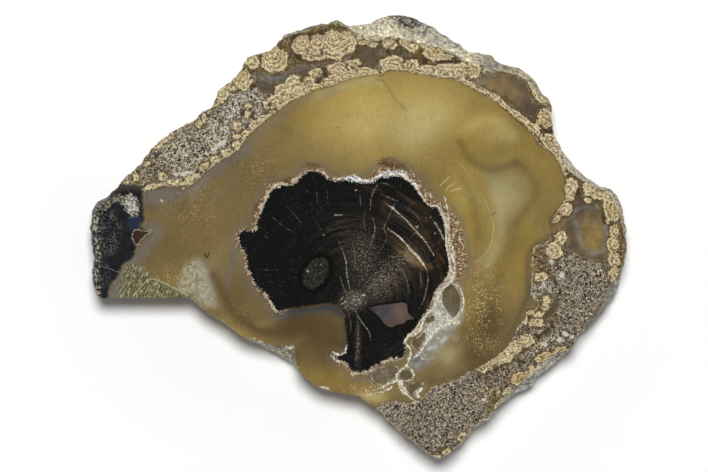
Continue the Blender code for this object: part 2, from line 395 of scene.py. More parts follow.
# %% Veins
VEINS = [
    (0.22, [(404, 177), (412, 183), (420, 193), (429, 205), (438, 206), (443, 216), (446, 228),
            (446, 243), (449, 258), (450, 270), (446, 280)]),
    (0.20, [(445, 197), (447, 208), (449, 222), (449, 238), (451, 252), (455, 266), (454, 276),
            (449, 283)]),
    (0.34, [(453, 280), (446, 286), (440, 292), (437, 300), (433, 308), (427, 314), (423, 321),
            (421, 329)]),
    (0.30, [(421, 329), (414, 335), (408, 337), (405, 342), (409, 347), (411, 352), (409, 360),
            (406, 366), (400, 371), (397, 375), (397, 380)]),
    (0.18, [(420, 322), (414, 331), (408, 335)]),
    (0.22, [(460, 288), (463, 297), (463, 307), (459, 315), (453, 320)]),
    (0.55, [(458, 322), (448, 323), (440, 327), (433, 333), (428, 339)]),
    (0.30, [(428, 339), (424, 346), (419, 353), (414, 358)]),
    (0.13, [(414, 357), (419, 355), (423, 359), (429, 360)]),
    (0.18, [(406, 366), (411, 369), (414, 374), (412, 380), (404, 381), (397, 381)]),
    (0.36, [(398, 381), (390, 383), (383, 387)]),
    (0.14, [(391, 389), (386, 391), (382, 393)]),
    (0.70, [(400, 384), (402, 388), (405, 392)]),
    (0.20, [(405, 392), (411, 398), (417, 402)]),
    (0.45, [(421, 389), (417, 393), (419, 397)]),
    (0.14, [(423, 383), (424, 387), (421, 389)]),
    (0.22, [(333, 352), (338, 355), (344, 353), (346, 348)]),
    (0.10, [(352, 394), (366, 395), (380, 392), (392, 387)]),
    (0.10, [(437, 300), (445, 308), (447, 317), (444, 325)]),
    (0.10, [(433, 311), (440, 314), (449, 319), (457, 321)]),
    (0.08, [(448, 331), (440, 336), (434, 345), (424, 352), (414, 357)]),
    (0.12, [(452, 253), (455, 262), (453, 272), (450, 281)]),
    (0.10, [(383, 387), (374, 390), (366, 391)]),
    (0.10, [(322, 388), (330, 391), (345, 394)]),
]
print(len(VEINS), "white veins")

# %% [markdown]
# ## Marks in the chalcedony
#
# Two long healed cracks cross the clear part, and a few short nicks catch the light. Some corners
# are frosted where crystals grew into a gap.

# %% Chalcedony marks
DARK_CRACKS = [
    (-0.05, [(376, 79), (384, 82), (389, 90), (394, 98), (400, 104), (406, 110)]),
    (-0.02, [(414, 127), (416, 137), (420, 147)]),
    (-0.03, [(420, 147), (430, 154), (446, 161), (458, 164), (466, 171), (476, 182), (483, 195)]),
    (0.05, [(336, 128), (340, 127)]),
    (0.10, [(492, 215), (496, 212)]),
    (0.22, [(204.5, 254), (207, 257.3), (209, 253.5)]),
    (0.16, [(551, 219.5), (553, 220.5)]),
    (0.16, [(557, 225.5), (558, 227)]),
    (0.10, [(498, 104), (505, 110), (514, 118), (524, 126), (533, 133)]),
    (0.05, [(158, 157), (163, 164), (169, 170)]),
]
LIGHT_CRACKS = [
    (0.08, [(133, 296), (140, 288), (147, 281), (153, 279), (162, 282), (172, 287), (184, 293),
            (191, 298)]),
    (-0.01, [(101, 266), (110, 269), (121, 273)]),
    (-0.02, [(447, 161), (458, 163), (467, 172), (476, 182)]),
    (0.07, [(440, 186), (444, 182), (449, 177)]),
    (0.08, [(446, 191), (448.5, 187), (453, 184)]),
    (0.09, [(450, 192), (455, 189.5), (461, 188.5)]),
    (0.00, [(483, 196), (487, 205), (492, 219)]),
    (0.04, [(494, 224), (493, 233), (492, 242)]),
    (0.02, [(492, 243), (487, 251), (480, 259), (474, 263)]),
    (0.26, [(161.2, 200.2), (162.4, 201.6)]),
]
print(len(DARK_CRACKS) + len(LIGHT_CRACKS), "cracks, nicks and scratches")

# %% Frost and chips
FROST = [
    (176, 290), (178, 272), (188, 259), (200, 258), (207, 270), (213, 290), (216, 306), (206, 310),
    (196, 301), (186, 297),
]
COMB = [
    (126, 266), (132, 262), (140, 264), (146, 270), (152, 277), (160, 281), (170, 285), (180, 290),
    (192, 299), (186, 303), (122, 303),
]
CHIPS = [
    [(250, 338), (257, 339), (264, 342), (271, 345), (282, 347), (291, 345), (295, 350), (293, 357),
     (297, 366), (300, 376), (288, 372), (270, 360), (256, 350), (244, 342)],
    [(320, 388), (326, 386), (332, 389), (326, 394)],
]
GOLD_DOTS = [
    (0.42, 196, 205, 26, 36), (0.4, 260, 170, 30, 20, -35), (1.0, 482, 300, 20, 34),
    (0.8, 480, 338, 22, 14, -30), (0.9, 370, 388, 30, 6), (0.7, 160, 282, 26, 12, 20),
    (0.25, 235, 315, 20, 14, 30), (0.2, 290, 130, 30, 14, -30),
]
print(len(CHIPS), "chipped strips,", len(GOLD_DOTS), "swarms of golden dots")

# %% [markdown]
# ## The crust: tan knobs and smoky pockets
#
# Algae grew on the limb as knobs with thin layers round a middle, like small cabbages. Between them
# stayed hollows that smoky chalcedony filled, and sand settled over everything. Each knob is an
# ellipse here, and the thin crust that follows the chalcedony's edge is a line with a width.

# %% Knobs and holes
KNOBS = [
    (171, 136, 4.5, 3.5), (158, 145, 6, 4, 40), (165, 140, 4, 2.5, 30), (199, 125, 4, 3.5),
    (204, 118, 2.5, 5), (248, 114, 4.5, 4), (237, 125, 5, 4.5), (248, 106, 3.5, 2.5),
    (221, 128, 1.6, 4), (223, 94, 6.5, 9, -20), (215, 104, 6, 3, 40), (240, 79, 14, 6.5, 38),
    (246, 84, 8, 5, 30), (232, 87, 6, 4, 20), (252, 62, 7, 8), (274.5, 59.5, 14.5, 13.5),
    (270, 50, 8, 5, 20), (303, 45, 11, 10), (318, 47, 14, 13), (335, 45, 16, 15), (345, 43, 11, 12),
    (309, 57, 8, 4), (296, 86, 12, 11), (283, 92, 9, 9), (274, 101, 9, 7, 25), (268, 104, 5, 5),
    (316, 73, 8, 4.5, 8), (338, 69, 13, 7, 8), (352, 63, 9, 4), (350, 74, 18, 5.5, 6),
    (364, 72, 16, 5, -3), (330, 82, 13, 4.5, 12), (312, 88, 14, 4.5, 15), (300, 94, 12, 4.5, 20),
    (337, 77, 9, 6), (309, 81, 6, 5), (364, 43, 5, 2.2), (373, 45, 5, 2.2), (389, 44, 8, 5.5),
    (404, 42, 6, 5), (411, 47, 7, 5.5), (434, 54, 11, 7, -5), (447, 57, 9, 3.5), (393, 63, 13, 7),
    (412, 65, 8, 6), (430, 69, 11, 4.5), (446, 68, 12, 5.5), (461, 70, 10, 7.5), (473, 70, 9, 8.5),
    (440, 73, 11, 3, -5), (463, 82, 6, 4, -20), (545, 119, 9, 10), (537, 127, 3, 4, 30),
    (541, 99, 7, 4, -20), (532, 86, 3.5, 8, 25), (551, 138, 7, 5, -30), (556, 148, 6, 7, 30),
    (561, 158, 5, 8, 30), (571, 187, 7, 10), (568, 198, 6, 4), (566, 209, 8, 6.5, 30),
    (557, 219, 5.5, 2.6, 35), (590, 187, 7, 9), (597, 195, 7, 4.5), (589, 200, 3.5, 2.5),
    (606, 197, 6, 5, -30), (611, 210, 8, 13, 10), (609, 221, 4, 3), (614, 232, 5, 8), (613, 245, 6, 10),
    (614, 260, 6, 9), (615, 273, 6.5, 7), (612, 281, 3, 4), (561, 238, 7, 6.5), (554, 251, 8, 9, 20),
    (541, 277, 8, 4.5, 15), (547, 300, 3.6, 5), (545, 307, 3.6, 5, -20), (539, 314, 6, 3, 25),
    (530, 312, 5, 2.6, -10), (524, 320, 3.4, 6, 20), (537, 323, 8, 4.5), (526, 340, 8, 7),
    (514, 348, 10, 7.5, 35), (505, 356, 11, 8, 30), (493, 362.5, 10, 7, 20), (484, 367, 7, 6),
    (477, 366, 4, 3.5), (561, 351, 8, 4.5, 20), (543, 357, 9, 4.5, 20), (521, 378, 10.5, 6.5, 12),
    (533, 370, 3.5, 5, 40), (507, 391, 3, 6, -40), (500, 402, 2.4, 9, -42), (484, 422, 5, 3.5, 20),
    (462, 437, 4.8, 4.8), (446, 452, 5, 3.5, 20), (437, 456, 4, 2), (147, 164, 4, 2.8, 30),
    (136, 177, 2.4, 5), (163, 176, 5, 4.5), (150, 186, 9, 2.2, 12), (129, 183, 6, 1.8, 10),
    (172, 181, 7, 2, 10), (192, 177, 8, 2, 20), (204, 166, 6, 3.5, 35), (215, 158, 6, 3, 30),
    (226, 151, 6, 3, 30), (236, 144, 6, 3, 35), (237, 137, 4, 2.5), (245, 133, 3.6, 3.6, 45),
    (253, 124, 5, 2.6, 45), (262, 117, 5, 2.4, 40),
]
CRUST_LINES = [
    (0.40, [(143, 189), (152, 188), (163, 183), (176, 184), (188, 182), (203, 173), (220, 160),
            (238, 148), (247, 134), (262, 121), (281, 106), (292, 98)]),
    (0.75, [(292, 97), (308, 90), (325, 83), (341, 78), (360, 73), (375, 72)]),
    (0.75, [(466, 82), (480, 89), (492, 95), (505, 106), (516, 114), (527, 122), (536, 131),
            (545, 141)]),
    (0.90, [(545, 141), (553, 150), (561, 160), (567, 172)]),
    (0.85, [(384, 70), (400, 67), (420, 71), (440, 74), (456, 76)]),
    (0.70, [(497, 68), (510, 70), (522, 74), (531, 82), (537, 92), (545, 99)]),
]
HOLES = [
    (321, 32.5, 3.6, 2.6), (310, 34, 2.2, 1.6), (294, 37, 3, 2, 30), (325, 73, 4, 3.5),
    (302, 79, 2.5, 3.5), (319, 81, 4, 2.5, 20), (346, 66, 1.6, 3), (270, 104, 3, 2),
    (322, 52, 1.5, 3.5), (298, 57, 4, 3), (310, 38, 1.6, 3), (480, 366, 2.4, 4), (496, 368, 3.4, 4),
    (502, 366, 2, 2), (520, 361, 4, 2.4), (552, 324, 2, 4), (546, 331, 6, 2.2, 35), (538, 336, 3, 2.4),
    (462, 437, 1.8, 1.8), (242, 112, 2.4, 5, 20), (157, 155, 4, 2, 30), (253, 85, 4, 2.4, 10),
    (252, 115, 3, 3), (556, 283, 1.6, 4, 30), (560, 292, 1.6, 4), (543, 128, 1.6, 5, 40),
    (549, 131, 4, 2), (612, 224, 3, 2.6), (604, 218, 2, 7, 10), (578, 193, 3, 4), (603, 189, 3, 1.2),
    (568, 172, 5, 1.2, -40), (425, 61, 4, 4), (388, 50, 1.6, 3), (404, 59, 1.4, 3),
    (411, 63, 1.2, 3, 20), (445, 62, 7, 1.8, 5), (457, 62, 4, 1.8),
]
print(len(KNOBS), "knobs,", len(HOLES), "holes")

# %% Pockets and grounds
POCKETS = [
    [(258, 74), (263, 72), (270, 77), (280, 77), (287, 70), (296, 66), (306, 65), (318, 64), (330, 61),
     (342, 59), (350, 55), (354, 49), (358, 43), (366, 41), (376, 43), (384, 44), (383, 50), (380, 54),
     (381, 60), (378, 66), (370, 69), (362, 68), (352, 65), (340, 63), (326, 66), (312, 69), (304, 75),
     (294, 76), (284, 83), (272, 84), (262, 79)],
    [(288, 37), (294, 38), (295, 47), (293, 57), (288, 64), (284, 60), (287, 50)],
    [(470, 80), (475, 76), (484, 74), (496, 74), (510, 75), (520, 79), (527, 84), (531, 92),
     (534, 102), (546, 104), (549, 109), (540, 110), (535, 116), (525, 116), (516, 110), (507, 103),
     (498, 97), (488, 92), (478, 87)],
    [(580, 188), (577, 197), (577, 206), (575, 214), (568, 219), (560, 224), (552, 222), (549, 227),
     (552, 234), (560, 231), (568, 236), (567, 249), (577, 256), (590, 260), (606, 261), (608, 245),
     (608, 230), (604, 216), (598, 206), (590, 201), (584, 196)],
    [(541, 317), (547, 310), (551, 302), (556, 295), (561, 298), (560, 306), (553, 316), (546, 322)],
    [(385, 49), (391, 48), (393, 55), (388, 58), (384, 55)],
    [(396, 47), (405, 50), (404, 57), (398, 54)],
    [(415, 48), (424, 47), (425, 54), (418, 56)],
    [(421, 59), (428, 58), (430, 65), (423, 67)],
    [(430, 61), (440, 59), (450, 62), (458, 65), (450, 67), (440, 65)],
    [(409, 52), (419, 51), (421, 59), (412, 60)],
    [(548, 330), (553, 334), (545, 339), (541, 336)],
]
SMOKY_GROUND = [
    [(256, 86), (262, 70), (280, 52), (288, 34), (320, 22), (352, 24), (356, 36), (392, 38), (424, 42),
     (452, 54), (478, 64), (515, 72), (540, 88), (552, 108), (560, 142), (548, 142), (520, 116),
     (490, 92), (462, 76), (420, 68), (384, 64), (350, 70), (312, 78), (290, 92), (272, 98)],
    [(562, 176), (585, 180), (606, 192), (622, 214), (622, 262), (604, 262), (590, 260), (566, 248),
     (548, 236), (548, 218)],
]
CREAM_GROUND = [
    (350, 30), (392, 36), (424, 40), (450, 52), (470, 60), (492, 66), (515, 70), (530, 78), (545, 95),
    (552, 110), (546, 112), (536, 100), (528, 84), (515, 76), (497, 72), (478, 72), (470, 66),
    (455, 58), (440, 50), (424, 50), (418, 44), (400, 40), (384, 42), (370, 41), (352, 42),
]
BROWN_GROUND = [
    (275, 54, 27, 20), (326, 27, 30, 7), (620, 235, 6, 40), (548, 104, 6, 8), (566, 188, 9, 20),
    (540, 262, 9, 16), (512, 352, 18, 10, 35), (545, 310, 12, 12), (492, 404, 5, 10, -25),
]
COARSE_SAND = [
    (1.0, 190, 148, 64, 26, 35), (0.9, 255, 98, 30, 18, 30), (1.0, 545, 275, 14, 34),
    (0.9, 552, 340, 30, 9, 30), (0.7, 520, 362, 26, 8, 30), (0.5, 490, 395, 20, 12, 40),
]
CLASTS = [
    (565, 334, 3.4, 2.0, -10), (559, 340, 2.8, 2.0), (572, 337, 2.4, 1.6), (545, 345, 2.6, 2.2),
    (562, 275, 2.4, 2.8), (484, 400, 2.0, 1.6), (499, 392, 1.6, 1.6), (537, 351, 1.6, 1.2),
    (543, 283, 1.6, 2.4, 30), (552, 262, 2.0, 2.6), (187, 173.5, 7, 2.2, 10), (176, 174, 3, 1.6),
    (222, 143, 5, 2.6, 30), (214, 149, 3, 1.6, 20), (234, 128, 2, 1.6),
]
ROUGH_SKIN = [
    (1.0, 410, 24, 44, 9, -16), (1.0, 462, 44, 32, 9, -32), (0.8, 520, 80, 36, 18, -35),
    (0.8, 610, 220, 20, 70), (0.8, 545, 370, 70, 20, 40), (0.9, 150, 150, 90, 30, 40),
    (0.8, 280, 40, 60, 30, 20), (0.8, 95, 240, 20, 60), (0.8, 440, 450, 60, 20),
    (0.7, 575, 160, 30, 30),
]
SOOTY_PATCH = [(1.0, 407, 17, 17, 9, -22)]
NECK = [(554, 227, 11, 9)]
print(len(POCKETS), "pockets,", len(CLASTS), "clasts")

# %% [markdown]
# ## The dark corner
#
# The far corner is a different growth: blue-black glassy chalcedony with a pale spongy arch in it
# and a small red-brown wedge beside it.

# %% Dark corner
CORNER = [
    (108, 306), (108, 297), (110, 290), (112, 283), (117, 278), (120, 272), (122, 266), (128, 262),
    (133, 258), (135, 252), (138, 245), (143, 240), (149, 233), (140, 226), (144, 222), (144, 215),
    (143, 205), (142, 190), (134, 186), (122, 186), (112, 190), (98, 192), (84, 204), (80, 250),
    (84, 306),
]
ARCH = [
    (101, 212), (103, 204), (110, 198), (116, 194), (124, 196), (131, 194), (137, 200), (139, 209),
    (136, 216), (130, 216), (126, 210), (121, 203), (114, 203), (108, 209),
]
LEFT_RIM = [
    (1.0, [(104, 198), (97, 206), (94, 218), (93, 232), (94, 246), (97, 258)]),
    (1.2, [(96, 258), (93, 268), (94, 282), (97, 298)]),
]
CORNER_TOP = [
    (0.7, [(140, 188), (126, 187), (116, 190), (106, 197)]),
]
WEDGE = [
    (133, 232), (138, 230), (144, 231), (151, 231), (146, 235), (141, 240), (137, 245), (133, 240),
]
NAVY_GLASS = [(135, 224, 9, 10, 20)]
GRAINY_GLASS = [(108, 232, 14, 26), (102, 275, 8, 14)]
ARCH_LIGHT = [(1.0, 131, 206, 9, 13)]
SAW_END = [(146, 300, 48, 5)]
print("dark corner drawn with", len(CORNER), "points")

# %% [markdown]
# ## Soft colours in the stone
#
# Chalcedony is clear enough to show layers below its face, so its colour drifts softly between a
# handful of tones. They are laid on like glazes, each a named tone on a soft round glow or along a
# soft stroke. The order is from wide to narrow.

# %% Tones
TONES = {
    "honey": "#7B6943", "gold": "#937C3B", "straw": "#AB934F", "pale": "#BDAC72", "reed": "#A99E72",
    "umber": "#54442A", "amber": "#8A6C34", "smoke": "#776C60", "milk": "#9C988A", "olive": "#6A6040",
    "sand": "#8A806C", "clay": "#766B5B", "soil": "#5B4C38", "ash": "#A8A394", "smoky": "#5E5241",
    "tea": "#86714A", "dusk": "#4C4338", "chalk": "#C2BCA6", "cream": "#DCD3B6", "slate": "#7F838A",
    "navy": "#2E3444", "black": "#23272A", "mauve": "#574A42", "milky": "#85857C", "haze": "#6B655E",
    "bluish": "#3E4041", "lens": "#625640", "brass": "#94803F", "rind": "#574A37", "skin": "#C0B69B",
    "walnut": "#54412C", "tanned": "#9C8560", "rust": "#47301D", "pith": "#6C675E", "white": "#E7E7E3",
    "bark": "#C9BAA2", "rose": "#6E5A53", "steel": "#45424A", "pearl": "#E4E5DC", "tan": "#C8B78F",
    "ochre": "#AA9150", "pinkish": "#BCA184", "lilac": "#6E6961", "frosty": "#A9AEA2",
}
print(len(TONES), "tones")

# %% Glows and strokes in the chalcedony
GLOWS = [
    ("straw", 1.0, 355, 105, 62, 42), ("straw", 0.9, 425, 105, 48, 36),
    ("gold", 0.8, 480, 130, 42, 36, 30), ("pale", 0.55, 365, 122, 30, 22),
    ("pale", 0.85, 425, 116, 30, 22, 10), ("reed", 0.55, 412, 136, 22, 14, 10),
    ("gold", 0.75, 460, 200, 26, 40, 20), ("gold", 0.5, 545, 175, 26, 40),
    ("gold", 0.55, 515, 255, 34, 40), ("straw", 0.4, 385, 150, 44, 14),
    ("straw", 0.25, 330, 130, 40, 18), ("reed", 0.9, 500, 193, 22, 22), ("pale", 0.35, 497, 134, 16, 9),
    ("umber", 0.35, 250, 180, 40, 26, -40), ("umber", 0.90, 300, 328, 40, 18),
    ("umber", 0.45, 240, 300, 30, 30), ("umber", 0.45, 165, 245, 30, 22),
    ("amber", 0.40, 330, 378, 40, 10, 10), ("umber", 0.70, 324, 345, 24, 22),
    ("umber", 0.80, 488, 328, 24, 26, 10), ("umber", 0.70, 472, 356, 30, 13, -20),
    ("amber", 0.35, 305, 112, 22, 12, -25), ("umber", 0.25, 275, 125, 26, 12, -40),
    ("umber", 0.30, 190, 220, 30, 26), ("tea", 0.35, 510, 285, 26, 34, 15),
    ("haze", 0.45, 531, 292, 7, 22), ("haze", 0.5, 165, 197, 22, 7, 5),
    ("haze", 0.7, 232, 262, 4, 40, -14), ("pale", 0.28, 464, 194, 9, 16, 10),
    ("straw", 0.5, 432, 90, 14, 12), ("umber", 0.35, 490, 320, 13, 13),
    ("milk", 0.35, 204, 290, 9, 26, -20), ("olive", 0.4, 225, 320, 22, 10, 35),
    ("straw", 0.45, 463, 190, 14, 30, 15), ("gold", 0.45, 470, 228, 12, 26),
    ("gold", 0.45, 530, 142, 26, 16, 40), ("gold", 0.45, 504, 266, 22, 22),
    ("amber", 0.30, 345, 378, 40, 14, 8), ("gold", 0.35, 330, 374, 36, 10, 8),
    ("brass", 0.45, 468, 300, 12, 24, 10), ("pale", 0.22, 255, 328, 26, 5, 20),
    ("pale", 0.8, 374, 397, 16, 6, -8), ("olive", 0.7, 398, 399, 14, 4),
    ("haze", 0.45, 368, 382, 16, 3, -15), ("amber", 0.5, 360, 388, 22, 3, -2),
    ("lilac", 0.7, 154, 200, 14, 10), ("smoke", 0.35, 226, 190, 16, 6, 50),
    ("umber", 0.25, 151, 218, 6, 8), ("lilac", 0.7, 118, 285, 9, 18, -20),
    ("lilac", 0.4, 165, 194, 20, 8, 10), ("umber", 0.35, 150, 207, 8, 5),
    ("olive", 0.5, 434, 375, 12, 6, 25),
]
STROKES = [
    ("umber", 0.75, 1.5, [(213, 276), (221, 291), (229, 309), (241, 321), (257, 330), (277, 335),
                          (296, 334), (312, 328)]),
    ("umber", 0.55, 0.8, [(238, 318), (252, 328), (270, 334), (290, 335), (304, 331)]),
    ("honey", 0.50, 1.6, [(208, 285), (219, 305), (236, 325), (258, 338), (285, 342), (302, 339)]),
    ("umber", 0.40, 1.2, [(296, 362), (300, 350), (309, 340), (322, 334)]),
    ("umber", 0.45, 1.1, [(460, 142), (466, 154), (475, 163), (487, 169), (502, 168), (516, 163)]),
    ("umber", 0.35, 1.2, [(516, 163), (526, 169), (534, 180), (536, 195), (527, 208), (516, 224)]),
    ("gold", 0.60, 1.8, [(474, 174), (482, 188), (487, 203), (490, 222), (489, 240)]),
    ("umber", 0.30, 1.3, [(462, 178), (468, 190), (473, 204), (476, 220), (478, 236)]),
    ("reed", 0.55, 1.8, [(500, 214), (500, 232), (496, 246), (488, 262)]),
    ("umber", 0.30, 2.2, [(514, 226), (510, 250), (500, 275), (492, 300), (482, 325)]),
    ("gold", 0.35, 2.0, [(528, 226), (530, 243), (522, 262), (516, 290)]),
    ("pale", 0.35, 1.8, [(470, 126), (484, 120), (500, 124), (512, 136)]),
    ("milk", 0.55, 1.0, [(199, 262), (207, 280), (214, 305)]),
    ("umber", 0.35, 1.6, [(345, 346), (330, 350), (322, 362), (330, 374)]),
    ("straw", 0.35, 1.0, [(222, 322), (250, 341), (280, 362)]),
    ("lilac", 0.80, 1.6, [(152, 226), (156, 233), (148, 245), (139, 256), (129, 269), (119, 284),
                          (114, 299)]),
    ("lilac", 0.70, 1.7, [(150, 192), (165, 190), (183, 191), (196, 186), (211, 173), (229, 161),
                          (247, 148)]),
    ("lilac", 0.35, 1.2, [(247, 149), (258, 135), (272, 123), (288, 111), (305, 101), (325, 93),
                          (342, 87)]),
    ("umber", 0.45, 0.5, [(158, 188), (170, 186), (182, 190)]),
    ("reed", 0.50, 1.1, [(318, 96), (335, 89), (352, 84), (372, 80), (382, 83)]),
    ("rind", 0.55, 0.8, [(548, 238), (534, 246), (528, 258), (528, 276), (528, 296), (521, 311),
                         (513, 328), (500, 348), (478, 364), (455, 376), (430, 382)]),
    ("umber", 0.75, 4.0, [(290, 322), (310, 320), (328, 326), (334, 345)]),
    ("umber", 0.60, 0.6, [(465, 330), (459, 342), (450, 353), (440, 364)]),
    ("umber", 0.50, 0.5, [(470, 338), (463, 349), (454, 359)]),
    ("umber", 0.32, 0.30, [(376, 79), (384, 82), (389, 90), (394, 98), (400, 104), (406, 110)]),
    ("bluish", 1.00, 1.5, [(281, 313), (296, 310), (312, 308), (328, 307), (340, 311)]),
    ("bluish", 0.85, 1.0, [(340, 311), (346, 320), (347, 335), (346, 345)]),
]
print(len(GLOWS), "glows and", len(STROKES), "strokes")

# %% Glows in wood, bark and matrix
WOOD_GLOWS = [
    ("tanned", 0.9, 413, 257, 16, 6, -38), ("rust", 0.9, 441, 262, 5, 30, 5),
    ("rust", 0.6, 420, 236, 14, 8, -45), ("rust", 0.7, 410, 267, 10, 3, -15),
    ("rust", 0.7, 433, 300, 5, 16, -20), ("pith", 0.8, 357, 300, 14, 14),
]
BARK_GLOWS = [
    ("white", 1.0, 358, 179, 16, 8), ("white", 1.0, 386, 172, 20, 10),
    ("white", 0.7, 412, 184, 14, 8, -45), ("white", 0.8, 408, 356, 7, 12),
    ("white", 0.7, 340, 352, 8, 6), ("white", 0.6, 442, 312, 10, 10), ("white", 0.4, 252, 282, 8, 10),
]
MATRIX_GLOWS = [
    ("sand", 1.0, 190, 150, 60, 40), ("ash", 1.0, 232, 118, 26, 15, 40), ("ash", 0.5, 178, 182, 20, 6),
    ("clay", 0.7, 580, 290, 60, 60), ("clay", 0.8, 440, 410, 80, 50),
    ("soil", 0.55, 150, 168, 30, 10, -35), ("soil", 0.5, 215, 112, 40, 8, -35),
    ("soil", 0.6, 572, 345, 46, 10, -42), ("soil", 0.6, 500, 388, 40, 9, -35),
    ("ash", 0.4, 545, 288, 10, 7), ("ash", 0.35, 550, 336, 20, 6, -30), ("soil", 0.85, 540, 264, 8, 16),
    ("amber", 0.55, 552, 352, 18, 5, -35), ("amber", 0.5, 494, 398, 16, 6, -50),
    ("amber", 0.45, 522, 378, 18, 5, -20),
]
POCKET_GLOWS = [
    ("tea", 0.9, 495, 87, 28, 12, -20), ("sand", 0.9, 480, 81, 8, 6), ("slate", 0.4, 488, 68, 10, 6),
    ("slate", 0.35, 276, 76, 18, 6, -10), ("dusk", 0.75, 530, 108, 12, 9),
    ("tea", 0.9, 592, 238, 16, 22), ("brass", 0.4, 593, 236, 10, 13), ("dusk", 0.6, 580, 205, 5, 12),
    ("tea", 1.0, 555, 228, 12, 8), ("steel", 0.3, 586, 203, 8, 6), ("dusk", 0.5, 280, 80, 14, 5),
    ("amber", 0.55, 418, 52, 7, 6), ("amber", 0.5, 426, 63, 6, 4), ("navy", 0.6, 399, 52, 5, 4),
    ("navy", 0.5, 412, 58, 3, 3), ("amber", 0.4, 300, 30, 26, 6, -10), ("soil", 0.5, 291, 48, 6, 12),
    ("dusk", 0.5, 550, 308, 8, 12),
]
POCKET_STROKES = [
    ("slate", 0.40, 0.5, [(571, 216), (576, 224), (579, 236), (584, 248), (594, 254), (603, 249),
                          (607, 237), (605, 224)]),
    ("dusk", 0.45, 0.8, [(568, 222), (572, 236), (578, 250), (590, 258), (602, 257)]),
    ("slate", 0.35, 0.5, [(574, 212), (584, 207), (596, 208)]),
    ("slate", 0.30, 0.4, [(262, 79), (280, 80), (296, 71), (320, 66)]),
]
print(len(MATRIX_GLOWS), "glows in the matrix,", len(POCKET_GLOWS), "in the pockets")

# %% Glows in skin and quartz
SKIN_GLOWS = [
    ("cream", 1.0, 372, 32, 32, 12), ("cream", 0.9, 440, 48, 34, 8, -20),
    ("cream", 0.7, 476, 58, 22, 9, -35), ("slate", 0.35, 425, 28, 26, 8, -25),
    ("slate", 0.35, 455, 42, 16, 8, -30), ("sand", 0.6, 620, 250, 20, 80),
    ("clay", 0.5, 140, 150, 60, 50), ("chalk", 0.5, 570, 160, 20, 20), ("chalk", 0.4, 617, 205, 8, 20),
    ("frosty", 0.7, 614, 290, 12, 12), ("frosty", 0.9, 555, 370, 26, 12, 35),
    ("frosty", 0.9, 522, 390, 22, 12, 25), ("frosty", 0.6, 590, 322, 20, 12, 45),
    ("sand", 0.5, 280, 30, 60, 30), ("dusk", 0.85, 95, 240, 20, 50), ("ash", 0.6, 430, 450, 60, 20),
    ("dusk", 0.5, 408, 22, 14, 9, -20), ("soil", 0.5, 500, 64, 26, 8, -20),
    ("olive", 0.75, 318, 26, 36, 8, 8), ("pearl", 0.45, 556, 366, 14, 6, 35),
    ("pearl", 0.2, 522, 391, 14, 5, 25), ("pearl", 0.3, 607, 298, 12, 14, 40),
    ("soil", 0.45, 578, 346, 26, 8, 35), ("soil", 0.75, 599, 306, 26, 7, 53),
    ("soil", 0.5, 629, 240, 4, 40), ("slate", 0.5, 488, 66, 9, 6), ("soil", 0.4, 545, 92, 14, 20, 30),
]
TAN_GLOWS = [
    ("ochre", 0.8, 520, 379, 14, 5, 15), ("ochre", 0.9, 543, 358, 10, 4, 20),
    ("olive", 0.4, 502, 400, 5, 10, -40), ("ochre", 0.6, 612, 213, 5, 10),
    ("ochre", 0.5, 611, 242, 4, 12), ("ochre", 0.6, 545, 120, 6, 6), ("ochre", 0.6, 470, 70, 8, 5),
    ("ochre", 0.5, 240, 76, 12, 4, 35), ("ochre", 0.5, 561, 352, 8, 5), ("ochre", 0.3, 280, 60, 10, 8),
    ("ochre", 0.5, 616, 275, 6, 6), ("ochre", 0.6, 434, 52, 6, 4), ("pinkish", 0.6, 537, 323, 9, 6),
    ("pinkish", 0.5, 346, 70, 20, 6), ("pinkish", 0.5, 310, 44, 14, 10),
    ("pinkish", 0.4, 568, 205, 9, 14), ("pinkish", 0.5, 392, 44, 9, 6), ("chalk", 0.7, 548, 251, 4, 7),
    ("chalk", 0.5, 525, 320, 4, 8), ("chalk", 0.4, 440, 74, 20, 4),
]
PLUME_GLOWS = [
    ("rose", 0.6, 401, 311, 9, 9), ("steel", 0.9, 382, 312, 9, 10), ("black", 0.7, 370, 309, 7, 6),
]
# Painted highlight and shade: the milk and pearl strokes are the lit sides of quartz facets, the haze
# stroke their shaded side.
QUARTZ_STROKES = [
    ("milk", 0.40, 0.5, [(417, 366), (426, 352), (437, 339), (452, 326)]),
    ("pearl", 0.40, 0.5, [(430, 348), (438, 345), (445, 338)]),
    ("haze", 0.40, 0.5, [(420, 367), (430, 356), (440, 344)]),
]
PEARLY_QUARTZ = [(0.7, 432, 327, 9, 5, 30), (0.4, 424, 340, 4, 9, -20)]
REEDY_QUARTZ = [(0.8, 448, 354, 14, 10, 35), (0.45, 455, 339, 6, 7), (0.3, 434, 356, 8, 6)]
print(len(SKIN_GLOWS), "glows in the skin,", len(QUARTZ_STROKES), "strokes in the quartz")

# %% [markdown]
# ## The mesh: a wall, a polished face and a sawn back
#
# The wall's main lumps are already in the frame's solid, so the wall is copied from it, with four
# faces for each of its own, and roughened. The flat faces are new: a honeycomb of points with the
# cracks and veins laid in as edges, joined into triangles by a constrained Delaunay triangulation.
# An edge along a thin vein lets the mesh say exactly where the vein is, even between grid points.

# %% Wall
HAIR = 1e-6


def at_height(piece, height):
    """True where a face or an edge lies flat at this height."""
    return all(abs(v.co.z - height) < HAIR for v in piece.verts)


